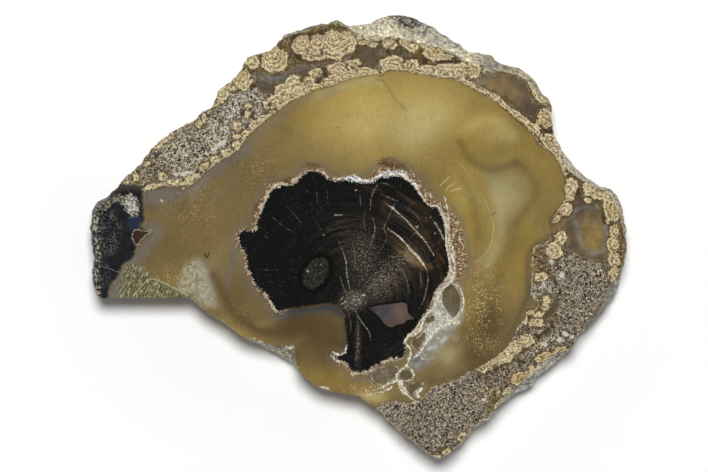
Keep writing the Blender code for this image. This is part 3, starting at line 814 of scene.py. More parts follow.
def copied_wall():
    """The frame's wall without its flat faces, welded and made finer, with open rims."""
    wall = bmesh.new()
    wall.from_mesh(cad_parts[NODE].data)
    bmesh.ops.remove_doubles(wall, verts=wall.verts, dist=HAIR)
    flat = [f for f in wall.faces if at_height(f, TOP) or at_height(f, BOTTOM)]
    bmesh.ops.delete(wall, geom=flat, context="FACES")
    bmesh.ops.subdivide_edges(wall, edges=wall.edges[:], cuts=1, use_grid_fill=True)
    inner = [v for v in wall.verts if not v.is_boundary]
    axes = {"use_axis_" + axis: True for axis in "xyz"}
    for _ in range(2):
        bmesh.ops.smooth_vert(wall, verts=inner, factor=0.5, **axes)
    return wall


def rim_in_order(wall, height):
    """The open rim at this height, as vertices in order."""
    edges = [e for e in wall.edges if e.is_boundary and at_height(e, height)]
    neighbours = {}
    for edge in edges:
        a, b = edge.verts
        neighbours.setdefault(a, []).append(b)
        neighbours.setdefault(b, []).append(a)
    first = edges[0].verts[0]
    order, here = [first], neighbours[first][0]
    while here is not first:
        order.append(here)
        here = next(v for v in neighbours[here] if v is not order[-2])
    return order


wall = copied_wall()
top_rim = rim_in_order(wall, TOP)
top_loop = np.array([v.co.xy for v in top_rim]) / MM
bottom_rim = rim_in_order(wall, BOTTOM)
print("wall has", len(wall.faces), "faces, rims of", len(top_rim), "and", len(bottom_rim), "points")

# %% [markdown]
# The honeycomb is fine on top and coarser on the back, where less is seen. Its points stay a little
# away from the rim and from each drawn line, because thin slivers would form between them.

# %% Flat faces
TOP_GRID, BACK_GRID = 0.46, 1.0
CLEAR_OF_LINES = 0.42
INSIDE_ONLY, SAME_POINT = 1, 1e-5


def honeycomb(loop, spacing):
    """Points of a honeycomb inside the loop, in mm."""
    lowest, highest = loop.min(0), loop.max(0)
    rows = np.arange(lowest[1], highest[1], spacing * math.sqrt(0.75))
    points = []
    for i, y in enumerate(rows):
        xs = np.arange(lowest[0] + (i % 2) * spacing / 2, highest[0], spacing)
        points.append(np.column_stack([xs, np.full(len(xs), y)]))
    points = np.vstack(points)
    return points[inside(points, loop)]


def flat_face(rim, spacing, lines):
    """Triangles inside a rim, with the lines laid in as edges. Returns their points in mm and faces."""
    loop = np.array([v.co.xy for v in rim]) / MM
    points = honeycomb(loop, spacing)
    gap = distance(points, loop, closed=True)[0]
    kept_lines = []
    for line in lines:
        path = curve(line)[:, :2]
        far = distance(path, loop, closed=True)[0]
        path = path[inside(path, loop) & (far > spacing)]
        if len(path) > 1:
            kept_lines.append(path)
            gap = np.minimum(gap, distance(points, path)[0])
    points = points[gap > spacing * CLEAR_OF_LINES]
    vertices, edges = [loop, points], [(i, (i + 1) % len(loop)) for i in range(len(loop))]
    count = len(loop) + len(points)
    for path in kept_lines:
        edges += [(count + i, count + i + 1) for i in range(len(path) - 1)]
        vertices.append(path)
        count += len(path)
    flat = [Vector(p) for p in np.vstack(vertices)]
    placed, _, faces, *_ = geometry.delaunay_2d_cdt(flat, edges, [], INSIDE_ONLY, SAME_POINT)
    return placed, faces


print("grids of", TOP_GRID, "and", BACK_GRID, "mm")

# %% Slab
drawn_lines = [line for *_, line in WOOD_LINES + VEINS + DARK_CRACKS + LIGHT_CRACKS]
faces_to_fill = ((TOP, top_rim, TOP_GRID, drawn_lines), (BOTTOM, bottom_rim, BACK_GRID, []))
for height, rim, spacing, lines in faces_to_fill:
    placed, faces = flat_face(rim, spacing, lines)
    corners = [wall.verts.new((p.x * MM, p.y * MM, height)) for p in placed]
    for face in faces:
        made = wall.faces.new([corners[i] for i in face])
        made.material_index = 1 if height == TOP else 2
    print("flat face at", round(height * 1000, 1), "mm has", len(faces), "triangles")

bmesh.ops.remove_doubles(wall, verts=wall.verts, dist=4 * HAIR)
bmesh.ops.recalc_face_normals(wall, faces=wall.faces)
loose_ends = sum(1 for e in wall.edges if not e.is_manifold)
for face in wall.faces:
    face.smooth = True
for edge in wall.edges:
    edge.smooth = len({f.material_index for f in edge.link_faces}) == 1
slab_mesh = bpy.data.meshes.new("polished_slab")
wall.to_mesh(slab_mesh)
wall.free()
slab = bpy.data.objects.new("polished_slab", slab_mesh)
bpy.context.scene.collection.objects.link(slab)
print("slab mesh:", len(slab_mesh.polygons), "faces,", loose_ends, "open or doubled edges")

# %% [markdown]
# ## Distances on the mesh
#
# Every point of the slab now stores its distance to each border as a named number. Points on the
# wall store them too, so a knob or the dark corner carries on down the side where the saw crossed it.

# %% Glows
places = np.empty(len(slab_mesh.vertices) * 3)
slab_mesh.vertices.foreach_get("co", places)
places = places.reshape(-1, 3) / MM
flat_places = np.ascontiguousarray(places[:, :2])


def glow(x, y, across, down, turn=0):
    """A soft round glow, 1 in its middle and fading past its edge."""
    size = math.sqrt(across * down) * STEP
    reach = nearest_lump(flat_places, [(x, y, across, down, turn)]) / size + 1
    return np.exp(-(reach**2))


def glows(rows):
    """The strongest of some glows, each a strength and an ellipse."""
    return np.maximum.reduce([strength * glow(*lump) for strength, *lump in rows])


print(len(places), "points on the slab")

# %% Growth of the knobs
GROWTH_LEAN = 0.62
HUGGING_DEPTH = 5.0


def knob_layers(lumps):
    """Gap in mm to the nearest knob, depth in its layers, and how much further the next knob is.

    A knob's layers are circles whose middles move from where it began to grow, near one side of it,
    to its own middle. Knobs that hug the chalcedony grew outward, and the others grew inward."""
    middles = plan([row[:2] for row in lumps])
    outward = middles - plan([PITH])
    outward /= np.hypot(*outward.T)[:, None]
    hugging = border(middles, HONEY)[0] < HUGGING_DEPTH
    nearest, second = np.full((2, len(flat_places)), FAR_AWAY)
    layers = np.zeros(len(flat_places))
    for middle, away, hugs, (_, _, across, down, *turn) in zip(middles, outward, hugging, lumps):
        c, s = turned(*turn)
        rotation = np.array([[c, s], [-s, c]])
        q = rotation @ (flat_places - middle).T / (np.array([[across], [down]]) * STEP)
        began = rotation @ away * (-GROWTH_LEAN if hugs else GROWTH_LEAN)
        from_start = q - began[:, None]
        along = began @ from_start
        spread = 1 - GROWTH_LEAN**2
        grown = (along + np.sqrt(along**2 + spread * (from_start**2).sum(0))) / spread
        size = math.sqrt(across * down) * STEP
        gap = (np.hypot(*q) - 1) * size
        layers = np.where(gap < nearest, (grown - 1) * size, layers)
        second = np.minimum(second, np.maximum(gap, nearest))
        nearest = np.minimum(nearest, gap)
    return nearest, layers, second - nearest


print("a knob begins", GROWTH_LEAN, "of the way to its side")

# %% Fields
fields = {"honey": border(flat_places, HONEY)[0]}
fields["wood"], widths = border(flat_places, WOOD)
fields["cream_width"], fields["brown_width"] = widths.T * STEP * BAND_SHARE
LOOPS = {
    "knot": [KNOT], "plume": [PLUME], "quartz": [QUARTZ], "lens": LENSES, "frost": [FROST],
    "comb": [COMB], "chip": CHIPS, "frosting": [FROSTING], "cream_ground": [CREAM_GROUND],
    "pocket": POCKETS, "smoky_ground": SMOKY_GROUND, "corner": [CORNER], "arch": [ARCH],
    "wedge": [WEDGE], "tan_wood": [TAN_WOOD],
}
LINES = {"vein": VEINS, "dark_crack": DARK_CRACKS, "light_crack": LIGHT_CRACKS, "left_rim": LEFT_RIM,
         "corner_top": CORNER_TOP}
LUMPS = {"brown_ground": BROWN_GROUND, "rotten": ROTTEN, "clast": CLASTS, "navy_glass": NAVY_GLASS,
         "grainy_glass": GRAINY_GLASS, "hole": HOLES, "neck": NECK, "fleck": FLECKS}
for drawn, measured in ((LOOPS, nearest_border), (LINES, nearest_line), (LUMPS, nearest_lump)):
    for name, rows in drawn.items():
        fields[name] = measured(flat_places, rows)
for name, rows in {
    "brown": BROWN_WOOD, "pith_grain": PITH_GRAINS, "fine_rings": FINE_RINGS, "gold_dots": GOLD_DOTS,
    "coarse_sand": COARSE_SAND, "rough_skin": ROUGH_SKIN, "sooty_patch": SOOTY_PATCH,
    "arch_light": ARCH_LIGHT,
}.items():
    fields[name] = glows(rows)
fields["wood_line"], fields["wood_line_bright"] = tapered_line(flat_places, WOOD_LINES)
fields["knob"], fields["knob_depth"], fields["knob_seam"] = knob_layers(KNOBS)
thin_crust = nearest_line(flat_places, CRUST_LINES)
fields["knob_depth"] = np.where(thin_crust < fields["knob"], thin_crust, fields["knob_depth"])
fields["knob"] = np.minimum(fields["knob"], thin_crust)
saw_side = nearest_lump(flat_places, SAW_END)
as_found = 1 - soft(saw_side, 0.5, 1.2)
crusted = np.maximum(soft(fields["honey"], 0.2, -0.2), soft(fields["corner"], -0.6, -0.2))
fields["skin_share"] = crusted * soft(saw_side, 0.4, 0.0)
for name, values in fields.items():
    kept = slab_mesh.attributes.new(name, "FLOAT", "POINT")
    kept.data.foreach_set("value", values.astype(np.float32))
print(len(fields), "fields on", len(places), "points")

# %% [markdown]
# Soft clouds of colour have no border, so they are laid on each point as tones: a plain tone first,
# then glows and strokes of other tones over it, each as strong as it shows in the stone. The
# materials read them as colour attributes. There are four: cut face, weathered skin, bark and tan.

# %% Tones on the mesh
def plain(colour):
    """One tone everywhere."""
    return np.tile(np.array(linear(TONES[colour])[:3]), (len(flat_places), 1))


def glaze(layer, colour, share):
    """Lay a tone over a layer, by a share from 0 to 1 at each point."""
    layer += (plain(colour) - layer) * np.reshape(share, (-1, 1))


def store(layer, name):
    """Keep a layer of tones on the mesh."""
    colours = np.column_stack([layer, np.ones(len(layer))]).astype(np.float32)
    kept = slab_mesh.color_attributes.new(name, "FLOAT_COLOR", "POINT")
    kept.data.foreach_set("color", colours.ravel())
    print("mean", name, [round(float(c), 3) for c in layer.mean(0)])


def glaze_glows(layer, rows, share=1.0):
    """Glaze with glows, each a tone, its strength and its ellipse."""
    for colour, strength, *lump in rows:
        glaze(layer, colour, strength * glow(*lump) * share)


def glaze_strokes(layer, rows, share=1.0):
    """Glaze with soft strokes, each a tone, its strength, its width in mm and its line."""
    for colour, strength, width, line in rows:
        far = distance(flat_places, curve(line))[0]
        glaze(layer, colour, strength * share * np.exp(-((far / width) ** 2)))


tone = plain("honey")
glaze_glows(tone, GLOWS)
glaze_strokes(tone, STROKES)
past_bark = fields["wood"] - fields["cream_width"] - fields["brown_width"]
clean_edge = soft(fields["brown_width"], 0.3, 0.0)
glaze(tone, "haze", 0.42 * np.exp(-(((past_bark - 0.8) / 0.8) ** 2)) * clean_edge)
print("chalcedony toned")

# %% Quartz and lens tones
in_quartz = soft(fields["quartz"], -0.9, 0.9)
in_lens = soft(fields["lens"], 0.1, 0.5)
glaze(tone, "milky", 0.75 * in_quartz)
glaze_glows(tone, [("umber", 0.4, 428, 368, 18, 6)], in_quartz)
glaze(tone, "milk", 0.5 * soft(fields["frosting"], 0.6, 1.4))
glaze(tone, "pearl", glows(PEARLY_QUARTZ) * soft(fields["quartz"], -0.2, 1.2))
# Painted highlight and shade of quartz facets.
glaze_strokes(tone, QUARTZ_STROKES)
glaze(tone, "reed", glows(REEDY_QUARTZ))
glaze(tone, "lens", in_lens)
glaze_glows(tone, [("smoke", 0.6, 385, 373, 12, 7)], in_lens)
glaze(tone, "slate", 0.5 * glow(443, 314, 8, 7) + 0.35 * glow(416, 362, 6, 6))
glaze(tone, "steel", 0.6 * glow(417, 360, 6, 2.4, 45))
print("quartz and lenses toned")

# %% Wood and crust tones
outside_honey = soft(fields["honey"], 0.3, -0.3)
pocket_or_ground = np.maximum(soft(fields["pocket"], 0.0, 0.6), soft(fields["smoky_ground"], -0.5, 0.5))
for ground, share, rows in (
    ("walnut", soft(fields["wood"], 0.2, 0.5), WOOD_GLOWS),
    ("mauve", soft(fields["plume"], 0.2, 0.6), PLUME_GLOWS),
    ("clay", outside_honey, MATRIX_GLOWS),
    ("smoky", outside_honey * pocket_or_ground, POCKET_GLOWS),
):
    glaze(tone, ground, share)
    glaze_glows(tone, rows, share)
glaze_strokes(tone, POCKET_STROKES, outside_honey * pocket_or_ground)
store(tone, "tone")

for name, rows in {"skin": SKIN_GLOWS, "bark": BARK_GLOWS, "tan": TAN_GLOWS}.items():
    layer = plain(name)
    glaze_glows(layer, rows)
    if name == "skin":
        # The skin darkens towards the foot of the wall: painted shade where the wall meets the table,
        # laid on with the soil tone.
        foot = soft(places[:, 2], 0.8, 5.0)
        glaze(layer, "soil", 0.88 * foot * as_found)
    store(layer, name)

# %% [markdown]
# ## Rough sides
#
# The crust's skin is knobbly at every size. The frame's solid has the big lumps, so only ripples and
# grit are added, and they fade out at both rims. The arris itself lost small bites to the saw, where
# it runs through crust, so points near it move sideways a little. The broken chalcedony gets long
# ripples alone, as glass does, and the sawn end stays flat. On the face, the softer matrix was
# polished down a few hundredths of a millimetre and lost a grain here and there. Blender's vector
# noise begins from the clock unless it has a seed, so it gets one, and each run gives the same slab.

# %% Relief
RIPPLE_SIZE, RIPPLE_DEPTH = 2.6, 0.30
GRIT_SIZE, GRIT_DEPTH = 0.9, 0.26
RIM_FADE = 1.2
UNDERPOLISH = 0.05
LOST_GRAIN_SIZE, LOST_GRAIN_DEPTH = 0.8, 0.22

on_wall, on_face = np.zeros(len(places), bool), np.zeros(len(places), bool)
for polygon in slab_mesh.polygons:
    if polygon.material_index == 0:
        on_wall[list(polygon.vertices)] = True
    elif polygon.material_index == 1:
        on_face[list(polygon.vertices)] = True
wall_points = np.flatnonzero(on_wall & ~on_face & (places[:, 2] > 0.001))
matrix_share = soft(fields["honey"], 0.5, 0.1) * soft(fields["knob"], 0.1, 0.5)
matrix_share *= soft(fields["corner"], 0.1, 0.5)
matrix_share *= 1 - np.maximum(soft(fields["pocket"], 0.0, 0.4), soft(fields["smoky_ground"], 0.0, 0.4))
moved = places.copy()
for i in wall_points:
    x, y, z = places[i]
    fade = min(1.0, z / RIM_FADE, (TOP / MM - z) / RIM_FADE)
    crust = fields["skin_share"][i]
    ripple = RIPPLE_DEPTH * noise.noise(Vector((x, y, z)) / RIPPLE_SIZE) * (0.4 + 0.6 * crust)
    grit = GRIT_DEPTH * noise.noise(Vector((x + 50, y, z)) / GRIT_SIZE) * crust
    moved[i] += np.array(slab_mesh.vertices[i].normal) * fade * (ripple + grit) * as_found[i]
for i in np.flatnonzero(on_face & ~on_wall & (matrix_share > 0)):
    x, y, z = places[i]
    lost = max(0.0, noise.noise(Vector((x, y, 7.0)) / LOST_GRAIN_SIZE) - 0.32) / 0.4
    moved[i, 2] -= matrix_share[i] * (UNDERPOLISH + LOST_GRAIN_DEPTH * min(lost, 1.0))
print(len(wall_points), "points of the wall roughened")

# %% Bites at the arris
RIM_BITE_SIZE, RIM_BITE, RIM_BITE_REACH = 1.3, 0.42, 1.1
BITE_SEED = 7
noise.seed_set(BITE_SEED)
near_rim = distance(flat_places, top_loop, closed=True)[0]
for i in np.flatnonzero(near_rim < 2.5 * RIM_BITE_REACH):
    x, y, z = places[i]
    bite = noise.noise_vector(Vector((x, y, 3.0)) / RIM_BITE_SIZE) * RIM_BITE
    share = math.exp(-((near_rim[i] / RIM_BITE_REACH) ** 2)) * (0.12 + 0.88 * fields["skin_share"][i])
    moved[i, :2] += np.array(bite.xy) * share * as_found[i]
slab_mesh.vertices.foreach_set("co", (moved * MM).ravel())
slab_mesh.update()
print("largest move", np.abs(moved - places).max().round(2), "mm")

# %% [markdown]
# ## A bench for materials
#
# Each material is built from many small nodes. `add` puts one node in the material on the bench,
# links or fills its inputs and hands back an output, so a material reads like a list of steps.
# Borders in stone are never smooth, so a few noises of different sizes are shared, and each zone's
# border wobbles by as many millimetres as suit it.

# %% Bench
tree = None
place = None
wobble = {}
WOBBLE_SIZES = {"wave": 2.4, "crinkle": 1.0, "fine": 0.4}


def add(kind, inputs=None, out=None, **settings):
    """Add a node on the bench, fill or link its inputs by name or number, hand back an output."""
    node = tree.nodes.new("ShaderNode" + kind)
    for name, value in settings.items():
        setattr(node, name, value)
    for name, value in (inputs or {}).items():
        if isinstance(name, int):
            socket = node.inputs[name]
        else:
            socket = next(s for s in node.inputs if s.enabled and s.name == name)
        if isinstance(value, bpy.types.NodeSocket):
            tree.links.new(value, socket)
        else:
            socket.default_value = value
    return next(s for s in node.outputs if s.enabled and out in (None, s.name))


def start_material(name):
    """A new material on the bench, with places in mm and the shared wobbles."""
    global tree, place
    material = bpy.data.materials.new(name)
    material.use_nodes = True
    tree = material.node_tree
    tree.nodes.clear()
    here = add("TexCoord", out="Object")
    place = add("Mapping", {"Vector": here, "Scale": (1 / MM,) * 3})
    for size_name, size in WOBBLE_SIZES.items():
        grain = add("TexNoise", {"Vector": place, "Scale": 1 / size, "Detail": 2.0, "Roughness": 0.6})
        wobble[size_name] = add("Math", {0: grain, 1: 4.0, 2: -2.0}, operation="MULTIPLY_ADD")
    return material


print("bench ready with wobbles of", WOBBLE_SIZES, "mm")

# %% [markdown]
# A look is a colour with its roughness and its height. A zone turns a stored distance into a share,
# and `lay` lays one look over another by that share, so a stone is built up like glaze on a pot.

# %% Zones and looks
SMOOTH = {"interpolation_type": "SMOOTHSTEP"}


def wobbled(name, **amounts):
    """A stored distance in mm, with its border moved by each wobble's amount."""
    far = add("Attribute", out="Fac", attribute_name=name)
    for size_name, amount in amounts.items():
        far = add("Math", {0: wobble[size_name], 1: amount, 2: far}, operation="MULTIPLY_ADD")
    return far


def zone(name, full=-0.06, none=0.06, **amounts):
    """The share of a stored zone: 1 where its wobbled distance is at full, 0 where it is at none."""
    far = wobbled(name, **amounts)
    return add("MapRange", {0: far, 1: none, 2: full}, **SMOOTH)


def meet(*shares):
    """Where all of some shares meet."""
    product = shares[0]
    for share in shares[1:]:
        product = add("Math", {0: product, 1: share}, operation="MULTIPLY")
        product = add("Math", {0: product, 1: 1.0}, operation="MINIMUM")
    return product


def paint(colour):
    """A hex colour as linear numbers. Any other colour stays as it is."""
    return linear(colour) if isinstance(colour, str) else colour


def lay(under, over, *shares, **others):
    """Lay a colour, or a whole look, over a look where some shares meet.

    A look holds a colour, a roughness and a height in mm. Others are the roughness and height that
    come with a colour."""
    if not isinstance(over, dict):
        over = {"colour": paint(over), **others}
    share = meet(*shares)
    look = dict(under)
    for part, value in over.items():
        kind = "RGBA" if part == "colour" else "FLOAT"
        look[part] = add("Mix", {"Factor": share, "A": under[part], "B": value}, data_type=kind)
    return look


print("zones fade by", SMOOTH)

# %% [markdown]
# Three grains serve every stone: specks where a noise is high, grains with a brightness each, and
# threads along a noise's middle value. An offset shifts the places, so that no two look alike.

# %% Specks, grains and threads
def speckle(size, rare, common, detail=2.0, offset=0.0):
    """Specks of about a size in mm: 1 where a noise is over the rarer limit, 0 below the commoner."""
    moved = add("Mapping", {"Vector": place, "Location": (offset, offset * 1.7, offset * 0.6)})
    grain = add("TexNoise", {"Vector": moved, "Scale": 1 / size, "Detail": detail, "Roughness": 0.6})
    return add("MapRange", {0: grain, 1: common, 2: rare}, **SMOOTH)


def grains(size, darkest, lightest, offset=0.0):
    """Grains of about a size in mm, each with a brightness of its own, as a factor around one."""
    moved = add("Mapping", {"Vector": place, "Location": (offset, offset * 1.3, offset * 0.7)})
    cells = add("TexVoronoi", {"Vector": moved, "Scale": 1 / size}, out="Color")
    level = add("SeparateColor", {"Color": cells}, out="Red")
    return add("MapRange", {0: level, 3: darkest, 4: lightest})


def threads(size, width, offset):
    """Thin winding threads: 1 on a noise's middle value, 0 where it is more than the width away."""
    moved = add("Mapping", {"Vector": place, "Location": (offset, offset * 0.7, 5.0)})
    winding = add("TexNoise",
                  {"Vector": moved, "Scale": 1 / size, "Detail": 1.5, "Roughness": 0.6,
                   "Distortion": 0.8})
    away = add("Math", {0: winding, 1: 0.5}, operation="SUBTRACT")
    away = add("Math", {0: away}, operation="ABSOLUTE")
    return add("MapRange", {0: away, 1: width, 2: width * 0.3}, **SMOOTH)


print("specks, grains and threads ready")

# %% [markdown]
# ## Chalcedony
#
# Chalcedony is quartz grown in fibres too fine to see. It polishes to a gloss like glass, with an IOR
# of about 1.54. Its clouds are iron and water in the layers, so the tones are shaded by a soft noise
# with a little flow, and some golden dots of goethite float in it.

# %% Chalcedony
BAND_PITCH = 1.25


def clouds(size, darkest, lightest, flow=0.3, detail=4.0, offset=0.0):
    """Light and dark clouds of about a size in mm, as a factor around one."""
    moved = add("Mapping", {"Vector": place, "Location": (offset, offset * 1.3, offset * 0.7)})
    cloud = add("TexNoise", {"Vector": moved, "Scale": 1 / size, "Detail": detail, "Roughness": 0.6,
                             "Distortion": flow})
    return add("MapRange", {0: cloud, 1: 0.3, 2: 0.7, 3: darkest, 4: lightest})


def shaded(colour, *factors):
    """A colour made lighter or darker by some factors."""
    for factor in factors:
        colour = add("HueSaturation", {"Color": colour, "Value": factor})
    return colour


def mixed(share, dark, light):
    """A colour between two colours, by a share."""
    return add("Mix", {"Factor": share, "A": paint(dark), "B": paint(light)}, data_type="RGBA")


def chalcedony():
    """Clear honey chalcedony with clouds, fine lapping marks and golden dots."""
    tones = add("Attribute", out="Color", attribute_name="tone")
    lapping = add("Mapping", {"Vector": place, "Scale": (2.2, 0.25, 1.0)})
    marks = add("TexNoise", {"Vector": lapping, "Scale": 1.0, "Detail": 2.0, "Roughness": 0.7})
    marks = add("MapRange", {0: marks, 1: 0.3, 2: 0.7, 3: 0.95, 4: 1.05})
    from_corner = wobbled("corner", wave=0.35)
    bands = add("Math", {0: from_corner, 1: 2 * math.pi / BAND_PITCH}, operation="MULTIPLY")
    bands = add("Math", {0: bands}, operation="SINE")
    fading = add("MapRange", {0: from_corner, 1: 0.0, 2: 5.5, 3: 0.08, 4: 0.0})
    bands = add("Math", {0: bands, 1: fading, 2: 1.0}, operation="MULTIPLY_ADD")
    soft_clouds = clouds(8.0, 0.88, 1.12)
    small_clouds = clouds(0.8, 0.95, 1.05, offset=1.0)
    grain = clouds(0.36, 0.91, 1.09, offset=3.0)
    colour = shaded(tones, soft_clouds, small_clouds, grain, marks, bands)
    look = {"colour": colour, "roughness": 0.08, "height": 0.0}
    dots = add("TexVoronoi", {"Vector": place, "Scale": 0.8})
    small = add("MapRange", {0: dots, 1: 0.24, 2: 0.10}, **SMOOTH)
    region = add("Attribute", out="Fac", attribute_name="gold_dots")
    where = meet(region, speckle(2.6, 0.58, 0.46, offset=7.0))
    look = lay(look, "#C9AE66", small, where)
    dust = meet(speckle(0.34, 0.64, 0.57, offset=63.0), speckle(3.0, 0.52, 0.38, offset=65.0))
    return lay(look, "#DCC588", dust, region, 0.9)


print("chalcedony ready, with bands every", BAND_PITCH, "mm at the dark corner")

# %% Marks in the chalcedony
def chalcedony_marks(look):
    """Healed cracks, frosted crystals and the chipped strip."""
    upright = add("Mapping", {"Vector": place, "Rotation": (0, 0, 1.1), "Scale": (1.5, 0.36, 1.0)},
                  vector_type="TEXTURE")
    needles = add("TexNoise",
                  {"Vector": upright, "Scale": 1.0, "Detail": 4.0, "Roughness": 0.75,
                   "Distortion": 0.4})
    olive = mixed(clouds(1.8, 0.0, 1.0, offset=55.0), "#3A3720", "#6B6748")
    comb = mixed(add("MapRange", {0: needles, 1: 0.51, 2: 0.64}), olive, "#C4C4A2")
    look = lay(look, comb, zone("comb", -0.5, 0.3, crinkle=0.5), 0.9, roughness=0.2)
    frost = mixed(speckle(1.2, 0.66, 0.36, detail=6.0, offset=9.0), "#8A8264", "#B3AE96")
    look = lay(look, frost, zone("frost", -2.2, 0.4, wave=0.8, crinkle=0.5), 0.75, roughness=0.18)
    crystals = meet(zone("frost", -1.0, 0.3, wave=0.5, crinkle=0.4),
                    speckle(0.5, 0.66, 0.57, detail=3.0, offset=99.0))
    look = lay(look, "#D6D2BA", crystals, 0.6)
    chip = mixed(speckle(0.6, 0.60, 0.42, detail=3.0, offset=5.0), "#6E6647", "#D6D2BA")
    look = lay(look, chip, zone("chip", -0.5, 0.1, wave=0.3, crinkle=0.6, fine=0.3), 0.9,
               roughness=0.45)
    look = lay(look, "#30261A", zone("dark_crack", -0.10, 0.12, crinkle=0.05, fine=0.08), 0.70)
    return lay(look, "#D0C496", zone("light_crack", -0.06, 0.13, fine=0.06), 0.6)


print("marks ready")

# %% [markdown]
# ## Silicified wood
#
# The wood turned to black chert cell by cell, so its growth rings and rays can still be read. Both
# come from the place round the pith. A noise that runs fast outward and slowly round gives rings. One
# that runs fast round and slowly outward gives rays. Iron stained one side brown, ring by ring.

# %% Wood
RING_PITCH = 0.95
THIN_RING_PITCH = 0.42
RAY_CIRCLE = 46.0


def round_pith():
    """Direction from the pith and distance from it in mm."""
    x, y = plan([PITH])[0]
    from_pith = add("Mapping", {"Vector": place, "Location": (-x, -y, 0)})
    flat = add("VectorMath", {0: from_pith, 1: (1, 1, 0)}, operation="MULTIPLY")
    radius = add("VectorMath", {0: flat}, operation="LENGTH")
    return add("VectorMath", {0: flat}, operation="NORMALIZE"), radius


def polar_noise(direction, radius, around, outward, detail=3.0):
    """Noise that runs at one rate round the pith and at another outward."""
    up = add("CombineXYZ", {"Z": add("Math", {0: radius, 1: outward}, operation="MULTIPLY")})
    where = add("VectorMath", {0: direction, 1: (around,) * 3, 2: up}, operation="MULTIPLY_ADD")
    return add("TexNoise", {"Vector": where, "Scale": 1.0, "Detail": detail, "Roughness": 0.6})


def silicified_wood():
    """Black chert with rings, rays and brown stain."""
    direction, radius = round_pith()
    radius = add("Math", {0: wobble["wave"], 1: 0.22, 2: radius}, operation="MULTIPLY_ADD")
    ring_noise = polar_noise(direction, radius, 2.4, 1 / RING_PITCH)
    ray_noise = polar_noise(direction, radius, RAY_CIRCLE, 0.35)
    rings = add("MapRange", {0: ring_noise, 1: 0.50, 2: 0.66}, **SMOOTH)
    rays = add("MapRange", {0: ray_noise, 1: 0.58, 2: 0.74}, **SMOOTH)
    stained = add("MapRange", {0: ring_noise, 1: 0.40, 2: 0.60, 3: 0.12, 4: 1.0}, **SMOOTH)
    brown = add("Attribute", out="Fac", attribute_name="brown")
    stain = meet(brown, stained, clouds(2.4, 0.35, 1.35, offset=11.0))
    look = {"colour": linear("#121313"), "roughness": 0.10, "height": 0.0}
    shown = add("Attribute", out="Fac", attribute_name="fine_rings")
    visible = add("MapRange", {0: shown, 3: 0.10, 4: 0.32})
    look = lay(look, "#3B362E", rings, visible)
    thin = polar_noise(direction, radius, 1.6, 1 / THIN_RING_PITCH, detail=1.0)
    thin = add("MapRange", {0: thin, 1: 0.50, 2: 0.62}, **SMOOTH)
    look = lay(look, "#5A5246", thin, shown, 0.34)
    tones = add("Attribute", out="Color", attribute_name="tone")
    streaks = add("MapRange", {0: ray_noise, 1: 0.3, 2: 0.7, 3: 0.4, 4: 1.6})
    look = lay(look, shaded(tones, streaks), stain)
    tan = shaded(tones, clouds(0.9, 0.6, 1.3, offset=61.0))
    look = lay(look, tan, zone("tan_wood", -0.9, 0.5, crinkle=0.4, fine=0.2), 0.60)
    look = lay(look, "#6B6557", rays, meet(speckle(1.8, 0.62, 0.44, offset=2.0), 0.34))
    pith_share = add("Attribute", out="Fac", attribute_name="pith_grain")
    look = lay(look, shaded(tones, 0.65), pith_share, 0.40)
    cells = polar_noise(direction, radius, 60.0, 2.4, detail=2.0)
    cells = add("MapRange", {0: cells, 1: 0.50, 2: 0.64}, **SMOOTH)
    look = lay(look, "#9B9180", pith_share, cells, 0.85)
    bits = meet(pith_share, speckle(0.42, 0.64, 0.58, offset=67.0))
    look = lay(look, "#CDC6B8", bits, 0.90)
    return lay(look, "#4B4740", speckle(0.4, 0.74, 0.60, offset=4.0), 0.5)


print("wood ready, its ring noise in steps of", RING_PITCH, "mm")

# %% Details in the wood
def wood_details(look):
    """The knot, the mauve pane, the healed cracks and the bright flecks."""
    tones = add("Attribute", out="Color", attribute_name="tone")
    look = lay(look, "#0D0D0C", zone("plume", 0.15, 0.7, fine=0.15), 0.8)
    look = lay(look, shaded(tones, clouds(1.5, 0.8, 1.2, offset=8.0)),
               zone("plume", -0.2, 0.08, fine=0.12), roughness=0.08)
    look = lay(look, "#0D0D0C", zone("knot", 0.2, 1.2, crinkle=0.3), 0.9)
    glassy = mixed(speckle(0.7, 0.70, 0.42, detail=4.0, offset=27.0), "#20211C", "#3F4137")
    look = lay(look, glassy, zone("knot", -0.9, 0.0, crinkle=0.35, fine=0.2))
    bright = add("Attribute", out="Fac", attribute_name="wood_line_bright")
    stained = add("Attribute", out="Fac", attribute_name="brown")
    look = lay(look, "#4A3623", zone("wood_line", 0.0, 0.9, fine=0.2), stained, bright)
    bright = meet(bright, bright)
    plain_line = mixed(bright, "#34322D", "#D6D0C1")
    tan_line = mixed(bright, "#4C3B28", "#E3CFA6")
    healed = mixed(meet(stained, 0.8), plain_line, tan_line)
    broken = clouds(0.8, 0.25, 1.35, detail=3.0, offset=1.0)
    look = lay(look, healed, zone("wood_line", -0.10, 0.08, crinkle=0.10, fine=0.16), broken)
    # White flecks, two of them painted highlights on the glassy knot.
    return lay(look, "#CFCBBF", zone("fleck", -0.15, 0.10, fine=0.2), 0.7)


print("details of the wood ready")

# %% [markdown]
# Where the bark decayed, brown granules and a crinkled cream lace took its place. Their widths are
# stored on the mesh, so each band is the stretch of distance from the wood that its width covers.

# %% Bark
STRAND_PITCH = 0.85


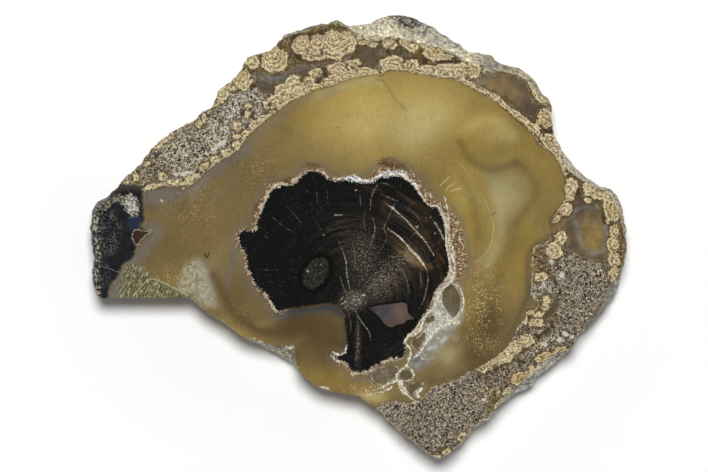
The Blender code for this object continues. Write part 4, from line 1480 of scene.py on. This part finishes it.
def bark_bands(look):
    """The brown granules and the crinkled cream line that took the place of the bark."""
    tones = add("Attribute", out="Color", attribute_name="bark")
    far = wobbled("wood", crinkle=0.30, fine=0.18)
    spikes = wobbled("wood", wave=0.25, crinkle=0.50, fine=0.30)
    cream = add("Attribute", out="Fac", attribute_name="cream_width")
    brown = add("Attribute", out="Fac", attribute_name="brown_width")
    outer = add("Math", {0: cream, 1: brown}, operation="ADD")
    past_outer = add("Math", {0: spikes, 1: outer}, operation="SUBTRACT")
    along = add("MapRange", {0: speckle(3.2, 0.62, 0.36, detail=1.0, offset=50.0), 3: 0.30, 4: 1.35})
    cream = add("Math", {0: cream, 1: along}, operation="MULTIPLY")
    past_cream = add("Math", {0: far, 1: cream}, operation="SUBTRACT")
    rotten = mixed(clouds(1.6, 0.0, 1.0, offset=57.0), "#4E3622", "#84694B")
    pale = speckle(0.50, 0.60, 0.52, detail=2.0, offset=13.0)
    granules = mixed(meet(pale, 0.80), rotten, "#D6C7AF")
    in_brown = add("MapRange", {0: past_outer, 1: 0.3, 2: -0.4}, **SMOOTH)
    some = add("MapRange", {0: brown, 1: 0.05, 2: 0.4, 3: 0.0, 4: 0.85})
    look = lay(look, granules, in_brown, some, roughness=0.2)
    dull = mixed(meet(speckle(0.45, 0.66, 0.60, offset=95.0), 0.7), shaded(rotten, 0.75), "#A8967C")
    look = lay(look, dull, zone("rotten", -0.5, 0.5, crinkle=0.5, fine=0.3), 0.9, roughness=0.2)
    lace = shaded(tones, clouds(0.55, 0.35, 1.50, detail=3.0, offset=12.0))
    pores = meet(speckle(0.6, 0.60, 0.54, detail=2.0, offset=59.0), 0.65)
    lace = mixed(pores, lace, "#4A3A28")
    strands = wobbled("wood", wave=0.30, crinkle=0.45, fine=0.10)
    strands = add("Math", {0: strands, 1: 2 * math.pi / STRAND_PITCH}, operation="MULTIPLY")
    strands = add("Math", {0: strands}, operation="SINE")
    gaps = add("MapRange", {0: strands, 1: 0.1, 2: 0.75}, **SMOOTH)
    gaps = meet(gaps, add("MapRange", {0: cream, 1: 0.7, 2: 1.6, 3: 0.25, 4: 0.62}))
    lace = mixed(gaps, lace, "#54442F")
    in_cream = add("MapRange", {0: past_cream, 1: 0.08, 2: -0.12}, **SMOOTH)
    some = add("MapRange", {0: cream, 1: 0.05, 2: 0.3})
    return lay(look, lace, in_cream, some, roughness=0.2)


print("bark ready, with strands every", STRAND_PITCH, "mm")

# %% [markdown]
# ## Quartz, lenses and veins
#
# The milky quartz and the lenses are in the tones already. Here they get their mottling and their
# crisp edges, and the veins are laid over them.

# %% Quartz look
def quartz_and_veins(look):
    """Milky quartz at the foot of the wood, smoky lenses and white veins."""
    tones = add("Attribute", out="Color", attribute_name="tone")
    milky = shaded(tones, clouds(1.3, 0.75, 1.28, offset=14.0))
    look = lay(look, milky, zone("quartz", -0.6, 0.6, wave=0.4, fine=0.2), roughness=0.12)
    frosty = meet(zone("quartz", -1.6, 0.6, wave=0.6, fine=0.2),
                  speckle(2.2, 0.70, 0.52, detail=5.0, offset=17.0))
    look = lay(look, "#C2C5BB", frosty, 0.30)
    frosting = zone("frosting", -0.8, 0.7, wave=0.6, crinkle=0.4)
    base = mixed(clouds(1.0, 0.0, 1.0, offset=71.0), "#6F6B5F", "#B4B1A4")
    look = lay(look, base, frosting, 0.75, roughness=0.2)
    for size, width, offset in ((1.7, 0.040, 73.0), (0.8, 0.030, 77.0)):
        look = lay(look, "#DEDCD0", frosting, threads(size, width, offset), 0.8)
    rim = meet(zone("lens", 0.05, 0.28, fine=0.15, crinkle=0.12),
               speckle(1.3, 0.55, 0.38, detail=3.0, offset=79.0))
    look = lay(look, "#BDB7A0", rim, 0.75)
    smoky = shaded(tones, clouds(2.0, 0.75, 1.35, offset=15.0), clouds(0.5, 0.68, 1.34, offset=81.0))
    look = lay(look, smoky, zone("lens", -0.12, 0.02, fine=0.15, crinkle=0.12), roughness=0.08)
    white = mixed(speckle(0.5, 0.58, 0.38, offset=16.0), "#A09880", "#E0DCCB")
    return lay(look, white, zone("vein", -0.16, 0.02, fine=0.12, crinkle=0.24), roughness=0.18)


print("quartz ready")

# %% [markdown]
# ## Crust and matrix
#
# The matrix is limy sand and ash, set hard. It takes a dull polish, so it is rougher than the
# chalcedony. The algal knobs grew in thin crinkled layers, so their tan is shaded by the distance from
# their edge, about five layers in four millimetres, and that distance is crinkled by noise.

# %% Matrix
def matrix():
    """Sandy matrix: pale and dark grains finer than half a millimetre."""
    tones = add("Attribute", out="Color", attribute_name="tone")
    fine = clouds(0.42, -0.20, 2.26, flow=0.0, detail=3.0, offset=19.0)
    sand_grains = grains(0.43, 0.0, 1.95, offset=20.5)
    colour = shaded(tones, fine, sand_grains, clouds(3.0, 0.80, 1.20, offset=20.0))
    look = {"colour": colour, "roughness": 0.42, "height": -0.02}
    coarse = add("Attribute", out="Fac", attribute_name="coarse_sand")
    look = lay(look, "#C9C0A4", speckle(0.8, 0.60, 0.54, offset=26.0), coarse, 0.85)
    look = lay(look, "#2E291F", speckle(0.8, 0.61, 0.54, offset=28.0), coarse, 0.85)
    look = lay(look, "#E6E2D4", speckle(0.34, 0.68, 0.60, offset=21.0), 0.90)
    look = lay(look, "#28221A", speckle(0.38, 0.67, 0.59, offset=24.0), 0.85)
    return lay(look, "#C9C6B8", zone("clast", -0.1, 0.15, crinkle=0.25, fine=0.15), 0.9)


print("matrix ready")

# %% Layers of the knobs
LAYER_PITCH = 0.78
FAN_SIZE = 2.4


def crust_layers():
    """Crinkled tan layers that fan out from where a knob began, with pores and creases in them."""
    tones = add("Attribute", out="Color", attribute_name="tan")
    bend = add("TexNoise", {"Vector": place, "Scale": 0.8}, out="Color")
    bent = add("Mix", {"Factor": 0.12, "A": place, "B": bend}, data_type="VECTOR")
    depth = wobbled("knob_depth", wave=0.24, crinkle=0.30, fine=0.12)
    fans = add("TexVoronoi", {"Vector": bent, "Scale": 1 / FAN_SIZE}, out="Distance")
    depth = add("Math", {0: fans, 1: 0.12 * FAN_SIZE, 2: depth}, operation="MULTIPLY_ADD")
    turns = add("Math", {0: depth, 1: 2 * math.pi / LAYER_PITCH}, operation="MULTIPLY")
    wave = add("Math", {0: turns}, operation="SINE")
    layer = add("MapRange", {0: wave, 1: 0.1, 2: 0.8}, **SMOOTH)
    crinkles = clouds(0.55, 0.62, 1.42, flow=1.0, detail=3.0, offset=31.0)
    colour = shaded(tones, crinkles, grains(0.38, 0.70, 1.30, offset=32.0))
    dark = mixed(clouds(1.6, 0.0, 1.0, offset=83.0), "#554425", "#7C673F")
    look = lay({"colour": colour}, dark, layer, 0.88)
    seam = add("MapRange", {0: wobbled("knob_seam", crinkle=0.2, fine=0.1), 1: 0.45, 2: 0.0}, **SMOOTH)
    look = lay(look, "#4A3920", seam, 0.65)
    for size, width, offset in ((0.85, 0.030, 33.0), (0.50, 0.024, 37.0)):
        look = lay(look, "#4E3D21", threads(size, width, offset), 0.36)
    return lay(look, "#EFE4C8", speckle(0.40, 0.66, 0.57, offset=85.0), 0.80)["colour"]


print("layers ready, one every", LAYER_PITCH, "mm")

# %% Knobs and pockets
def knobs_and_pockets(look):
    """Smoky chalcedony first, then the tan knobs that grew into it, then the holes between them."""
    tones = add("Attribute", out="Color", attribute_name="tone")
    smoky = shaded(tones, clouds(2.4, 0.72, 1.30, offset=22.0))
    glassy = {"colour": smoky, "roughness": 0.1, "height": 0.0}
    rough = lay(glassy, "#8C8069", speckle(0.6, 0.68, 0.54, detail=4.0, offset=35.0), 0.45)
    look = lay(look, rough, zone("smoky_ground", -0.3, 0.3, wave=0.6, crinkle=0.5, fine=0.2))
    earthy = mixed(speckle(0.6, 0.58, 0.40, detail=4.0, offset=87.0), "#32281A", "#7D6A45")
    earthy = mixed(meet(speckle(0.5, 0.66, 0.58, offset=89.0), 0.8), earthy, "#CDBB90")
    look = lay(look, earthy, zone("brown_ground", -0.6, 1.0, wave=0.8, crinkle=0.5), 0.85,
               roughness=0.35)
    limy = mixed(speckle(0.55, 0.62, 0.38, detail=4.0, offset=91.0), "#7F7358", "#D6CCB0")
    look = lay(look, limy, zone("cream_ground", -0.4, 0.3, wave=0.5, crinkle=0.5, fine=0.2),
               roughness=0.35)
    rim = meet(zone("pocket", -0.15, 0.3, crinkle=0.4, fine=0.2),
               speckle(0.6, 0.60, 0.40, detail=3.0, offset=36.0))
    look = lay(look, "#958B74", rim, 0.6, roughness=0.2)
    look = lay(look, glassy, zone("pocket", -0.55, -0.15, crinkle=0.4, fine=0.2))
    depth = wobbled("knob", wave=0.45, crinkle=0.50, fine=0.30)
    halo = add("MapRange", {0: depth, 1: 1.7, 2: 0.3}, **SMOOTH)
    look = lay(look, "#58441F", halo, speckle(1.4, 0.60, 0.40, detail=4.0, offset=93.0), 0.7)
    rim = add("MapRange", {0: depth, 1: 0.38, 2: 0.05}, **SMOOTH)
    look = lay(look, "#33281A", rim, 0.70)
    body = add("MapRange", {0: depth, 1: 0.06, 2: -0.10}, **SMOOTH)
    look = lay(look, crust_layers(), body, roughness=0.24, height=0.0)
    return lay(look, "#3B3023", zone("hole", -0.25, 0.30, crinkle=0.4, fine=0.15), 0.85)


print("knobs and pockets ready")

# %% Dark corner look
def dark_corner(look):
    """Blue-black chalcedony, the spongy arch in it, the grainy rim and the red-brown wedge."""
    tones = add("Attribute", out="Color", attribute_name="tone")
    black = {"colour": mixed(clouds(3.0, 0.0, 1.0, offset=30.0), "#131517", "#27292C")}
    grey = meet(speckle(0.55, 0.60, 0.48, detail=4.0, offset=34.0),
                zone("grainy_glass", -2.0, 1.0, wave=0.6))
    black = lay(black, "#555852", grey, 0.75)
    black = lay(black, "#A5A69C", speckle(0.36, 0.69, 0.62, offset=97.0), grey, 0.85)
    black = lay(black, "#2B3448", zone("navy_glass", -1.2, 0.6, crinkle=0.4), 0.75)
    look = lay(look, {**black, "roughness": 0.08, "height": 0.0},
               zone("corner", -0.6, 0.5, crinkle=0.35, fine=0.10))
    look = lay(look, "#3F3C37", zone("corner_top", -0.4, 0.5, crinkle=0.4), 0.8)
    light = add("Attribute", out="Fac", attribute_name="arch_light")
    pale = mixed(light, "#857F70", "#CFCBBE")
    dim = mixed(light, "#35332D", "#6A675D")
    spongy = mixed(speckle(0.65, 0.56, 0.46, detail=4.0, offset=31.0), dim, pale)
    look = lay(look, spongy, zone("arch", -0.35, 0.35, crinkle=0.6, fine=0.25), roughness=0.3)
    grainy = mixed(speckle(0.60, 0.57, 0.46, detail=4.0, offset=33.0), "#2E2A24", "#ABA492")
    rim = zone("left_rim", -0.5, 0.6, wave=0.6, crinkle=0.8, fine=0.2)
    look = lay(look, grainy, rim, 0.92, roughness=0.35)
    look = lay(look, "#9B988C", zone("light_crack", -0.06, 0.13, fine=0.06), zone("corner", -0.2, 0.0))
    look = lay(look, "#B9AD92", zone("wedge", 0.0, 0.30, crinkle=0.35, fine=0.2), 0.6)
    return lay(look, "#3B2A24", zone("wedge", -0.2, 0.05, crinkle=0.2, fine=0.15))


print("dark corner ready")

# %% [markdown]
# ## The whole cut face
#
# The saw laid open every stone at once, so one look holds them all. They are laid in the order they
# formed, each over the one before, and thin dark and pale lines mark where crust meets chalcedony.

# %% Whole pattern
def whole_pattern():
    """The look of the slab's cut face, all stones in the order they formed."""
    look = chalcedony_marks(chalcedony())
    look = bark_bands(look)
    wood = wood_details(silicified_wood())
    look = lay(look, wood, zone("wood", -0.05, 0.05, crinkle=0.36, fine=0.48))
    look = quartz_and_veins(look)
    line = wobbled("honey", crinkle=0.40, fine=0.20)
    dark_line = add("MapRange", {0: line, 1: -0.55, 2: -0.05}, **SMOOTH)
    look = lay(look, "#4B3A26", dark_line, 0.6)
    crust = knobs_and_pockets(matrix())
    near = add("Math", {0: line}, operation="ABSOLUTE")
    line_share = add("MapRange", {0: near, 1: 0.45, 2: 0.1}, **SMOOTH)
    line_share = meet(line_share, speckle(0.8, 0.56, 0.40, detail=3.0, offset=18.0))
    away = meet(zone("neck", 0.8, 0.0), zone("corner", 2.4, 1.2))
    crust = lay(crust, "#BCAC86", line_share, away)
    edge = add("MapRange", {0: line, 1: -0.05, 2: 0.05}, **SMOOTH)
    look = lay(look, crust, edge)
    return dark_corner(look)


print("pattern ready")

# %% Surface
STONE_IOR = 1.54


def show(surface, kind="Material"):
    """Link a finished surface, or a sky, to its output."""
    output = tree.nodes.new("ShaderNodeOutput" + kind)
    tree.links.new(surface, output.inputs["Surface"])


def finish_material(look, depth_of_colour=1.0, extra_roughness=0.0, shine=0.5):
    """Turn a look into a surface: stone with the IOR of quartz and its relief as bump."""
    roughness = look["roughness"]
    if extra_roughness:
        roughness = add("Math", {0: roughness, 1: extra_roughness}, operation="ADD")
    colour = shaded(look["colour"], depth_of_colour)
    bump = add("Bump", {"Strength": 1.0, "Distance": MM, "Height": look["height"]})
    show(add("BsdfPrincipled", {"Base Color": colour, "Roughness": roughness, "IOR": STONE_IOR,
                                "Normal": bump, "Specular IOR Level": shine}))


print("surface ready, with an IOR of", STONE_IOR)

# %% [markdown]
# ## The crust's skin
#
# Outside, the crust weathered to cream and grey lime with pits, crumbs and one sooty patch; the pits
# are painted shade, a much darker copy of the skin's own tone. The skin slopes steeply and is seen from
# above, so its grain would look squeezed flat. The places are drawn out down the wall before the noises
# read them, which gives grains that look round from above.

# %% Weathered skin
DRAWN_OUT = 0.5


def crust_skin():
    """Weathered lime, mottled cream and bluish grey."""
    global place
    tones = add("Attribute", out="Color", attribute_name="skin")
    stone_place = place
    place = add("Mapping", {"Vector": stone_place, "Scale": (1.0, 1.0, DRAWN_OUT)})
    rough_skin = add("Attribute", out="Fac", attribute_name="rough_skin")
    mottles = clouds(1.1, 0.56, 1.60, detail=5.0, offset=40.0)
    mottled = shaded(tones, mottles, grains(0.60, 0.56, 1.42, offset=42.0))
    look = {"colour": mottled, "roughness": 0.8, "height": 0.0}
    bluish = shaded(tones, clouds(1.2, 0.34, 1.00, offset=49.0))
    bluish = add("HueSaturation", {"Color": bluish, "Saturation": 0.40})
    look = lay(look, bluish, speckle(2.4, 0.60, 0.53, detail=5.0, offset=41.0), 0.62)
    # Painted shade in the rough skin's pits: a much darker copy of the skin's own tone.
    painted_pit_shade = meet(rough_skin, speckle(1.2, 0.54, 0.47, detail=5.0, offset=43.0))
    look = lay(look, shaded(tones, 0.24), painted_pit_shade, 0.92)
    crumbs = meet(rough_skin, speckle(0.9, 0.57, 0.50, detail=4.0, offset=45.0))
    look = lay(look, shaded(tones, 1.62), crumbs, 0.95)
    sooty = mixed(speckle(0.9, 0.62, 0.46, detail=5.0, offset=51.0), "#1E2022", "#84827A")
    patch = add("Attribute", out="Fac", attribute_name="sooty_patch")
    patch = add("MapRange", {0: patch, 1: 0.22, 2: 0.60}, **SMOOTH)
    look = lay(look, sooty, patch, speckle(1.1, 0.52, 0.42, detail=5.0, offset=53.0))
    look = lay(look, "#2F2A22", speckle(0.55, 0.66, 0.60, offset=47.0), 0.75)
    place = stone_place
    return look


print("skin ready")

# %% [markdown]
# ## Three finishes
#
# The face was lapped and polished. The sides are as the stone was found: weathered skin on the
# crust, and fresh curved breaks on the chalcedony. The back is as the saw left it. Weathered skin
# hardly shines, so the sides have a low specular level.

# %% Materials
polished = start_material("polished petrified wood")
finish_material(whole_pattern())

sawn = start_material("sawn petrified wood")
finish_material(whole_pattern(), depth_of_colour=1.15, extra_roughness=0.35)

weathered = start_material("weathered crust")
side = chalcedony()
side["roughness"] = 0.35
broken_face = mixed(speckle(0.8, 0.58, 0.44, detail=5.0, offset=5.0), "#615D45", "#CFCCB8")
side = lay(side, broken_face, zone("chip", -0.8, 0.6, wave=0.4, crinkle=0.4), 0.9, roughness=0.45)
side = lay(side, matrix(), zone("honey", 0.3, -0.3, wave=0.4, crinkle=0.3))
side = lay(side, crust_skin(), zone("skin_share", 0.75, 0.25, wave=0.1, crinkle=0.12))
side = lay(side, "#2C2D2E", zone("corner", -0.3, 0.3, wave=0.3, crinkle=0.3), roughness=0.2)
lumps = add("TexNoise", {"Vector": place, "Scale": 1.3, "Detail": 6.0, "Roughness": 0.65})
side["height"] = add("Math", {0: lumps, 1: 0.6}, operation="MULTIPLY")
finish_material(side, shine=0.12)
for material in (weathered, polished, sawn):
    slab_mesh.materials.append(material)
    print(material.name, "has", len(material.node_tree.nodes), "nodes")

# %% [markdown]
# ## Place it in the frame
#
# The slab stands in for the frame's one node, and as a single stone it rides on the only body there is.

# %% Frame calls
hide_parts(NODE)
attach(slab, "root")
print(slab.name, "replaces", NODE)

# %% [markdown]
# ## Table, light and camera
#
# The slab lies on a white table and is seen from straight above with a long lens, so no side shows
# but the crust's own slope. A polished black face seen from above mirrors the sky above it, so the
# sky is dark at the top and bright all round, as under a copying stand. One broad soft lamp, almost
# overhead and a little to the far side, gives the shadow its softness and its side.

# %% Table
TABLE_WHITE = (0.97, 0.97, 0.97, 1.0)
bpy.ops.mesh.primitive_plane_add(size=6.0, location=(0, 0, BOTTOM))
table = bpy.context.object
table.name = "white_table"
start_material("white table")
show(add("BsdfPrincipled", {"Base Color": TABLE_WHITE, "Roughness": 1.0, "Specular IOR Level": 0.0}))
table.data.materials.append(bpy.data.materials["white table"])
print(table.name, "lies at", round(BOTTOM * 1000, 2), "mm")

# %% Light
LAMP_TILT = Vector((0.0, 0.23, 1.0))
LAMP_FAR = 2.2
LAMP_WIDTH = 0.62
LAMP_POWER = 43.0
SKY = 0.8

lamp_data = bpy.data.lights.new("soft lamp", "AREA")
lamp_data.shape = "DISK"
lamp_data.size = LAMP_WIDTH
lamp_data.energy = LAMP_POWER
lamp = bpy.data.objects.new("soft lamp", lamp_data)
lamp.location = LAMP_TILT.normalized() * LAMP_FAR
lamp.rotation_euler = LAMP_TILT.to_track_quat("Z", "Y").to_euler()
lamp.visible_glossy = False
bpy.context.scene.collection.objects.link(lamp)

world = bpy.data.worlds.new("room with bright walls and a dark ceiling")
world.use_nodes = True
tree = world.node_tree
tree.nodes.clear()
direction = add("TexCoord", out="Generated")
height = add("SeparateXYZ", {"Vector": direction}, out="Z")
brightness = add("MapRange", {0: height, 1: 0.60, 2: 0.34, 3: 0.03, 4: SKY}, **SMOOTH)
show(add("Background", {"Color": (1.0, 1.0, 1.0, 1), "Strength": brightness}), "World")
bpy.context.scene.world = world
print("lamp of", LAMP_POWER, "W under a sky of up to", SKY)

# %% Camera
CAMERA_HEIGHT = 1.5
SEEN_MIDDLE = (354, 236)
PICTURE_WIDTH = PICTURE_STEPS * STEP * MM
camera_data = bpy.data.cameras.new("camera")
camera_data.lens = camera_data.sensor_width * CAMERA_HEIGHT / PICTURE_WIDTH
camera_data.clip_start, camera_data.clip_end = 0.05, 20.0
camera = bpy.data.objects.new("camera", camera_data)
middle = plan([SEEN_MIDDLE])[0] * MM
camera.location = (middle[0], middle[1], TOP + CAMERA_HEIGHT)
bpy.context.scene.collection.objects.link(camera)
bpy.context.scene.camera = camera
bpy.context.scene.view_settings.view_transform = "Standard"
print("lens", round(camera_data.lens, 1), "mm")

# %% [markdown]
# ## Finish

# %% Finish
print("scene built")
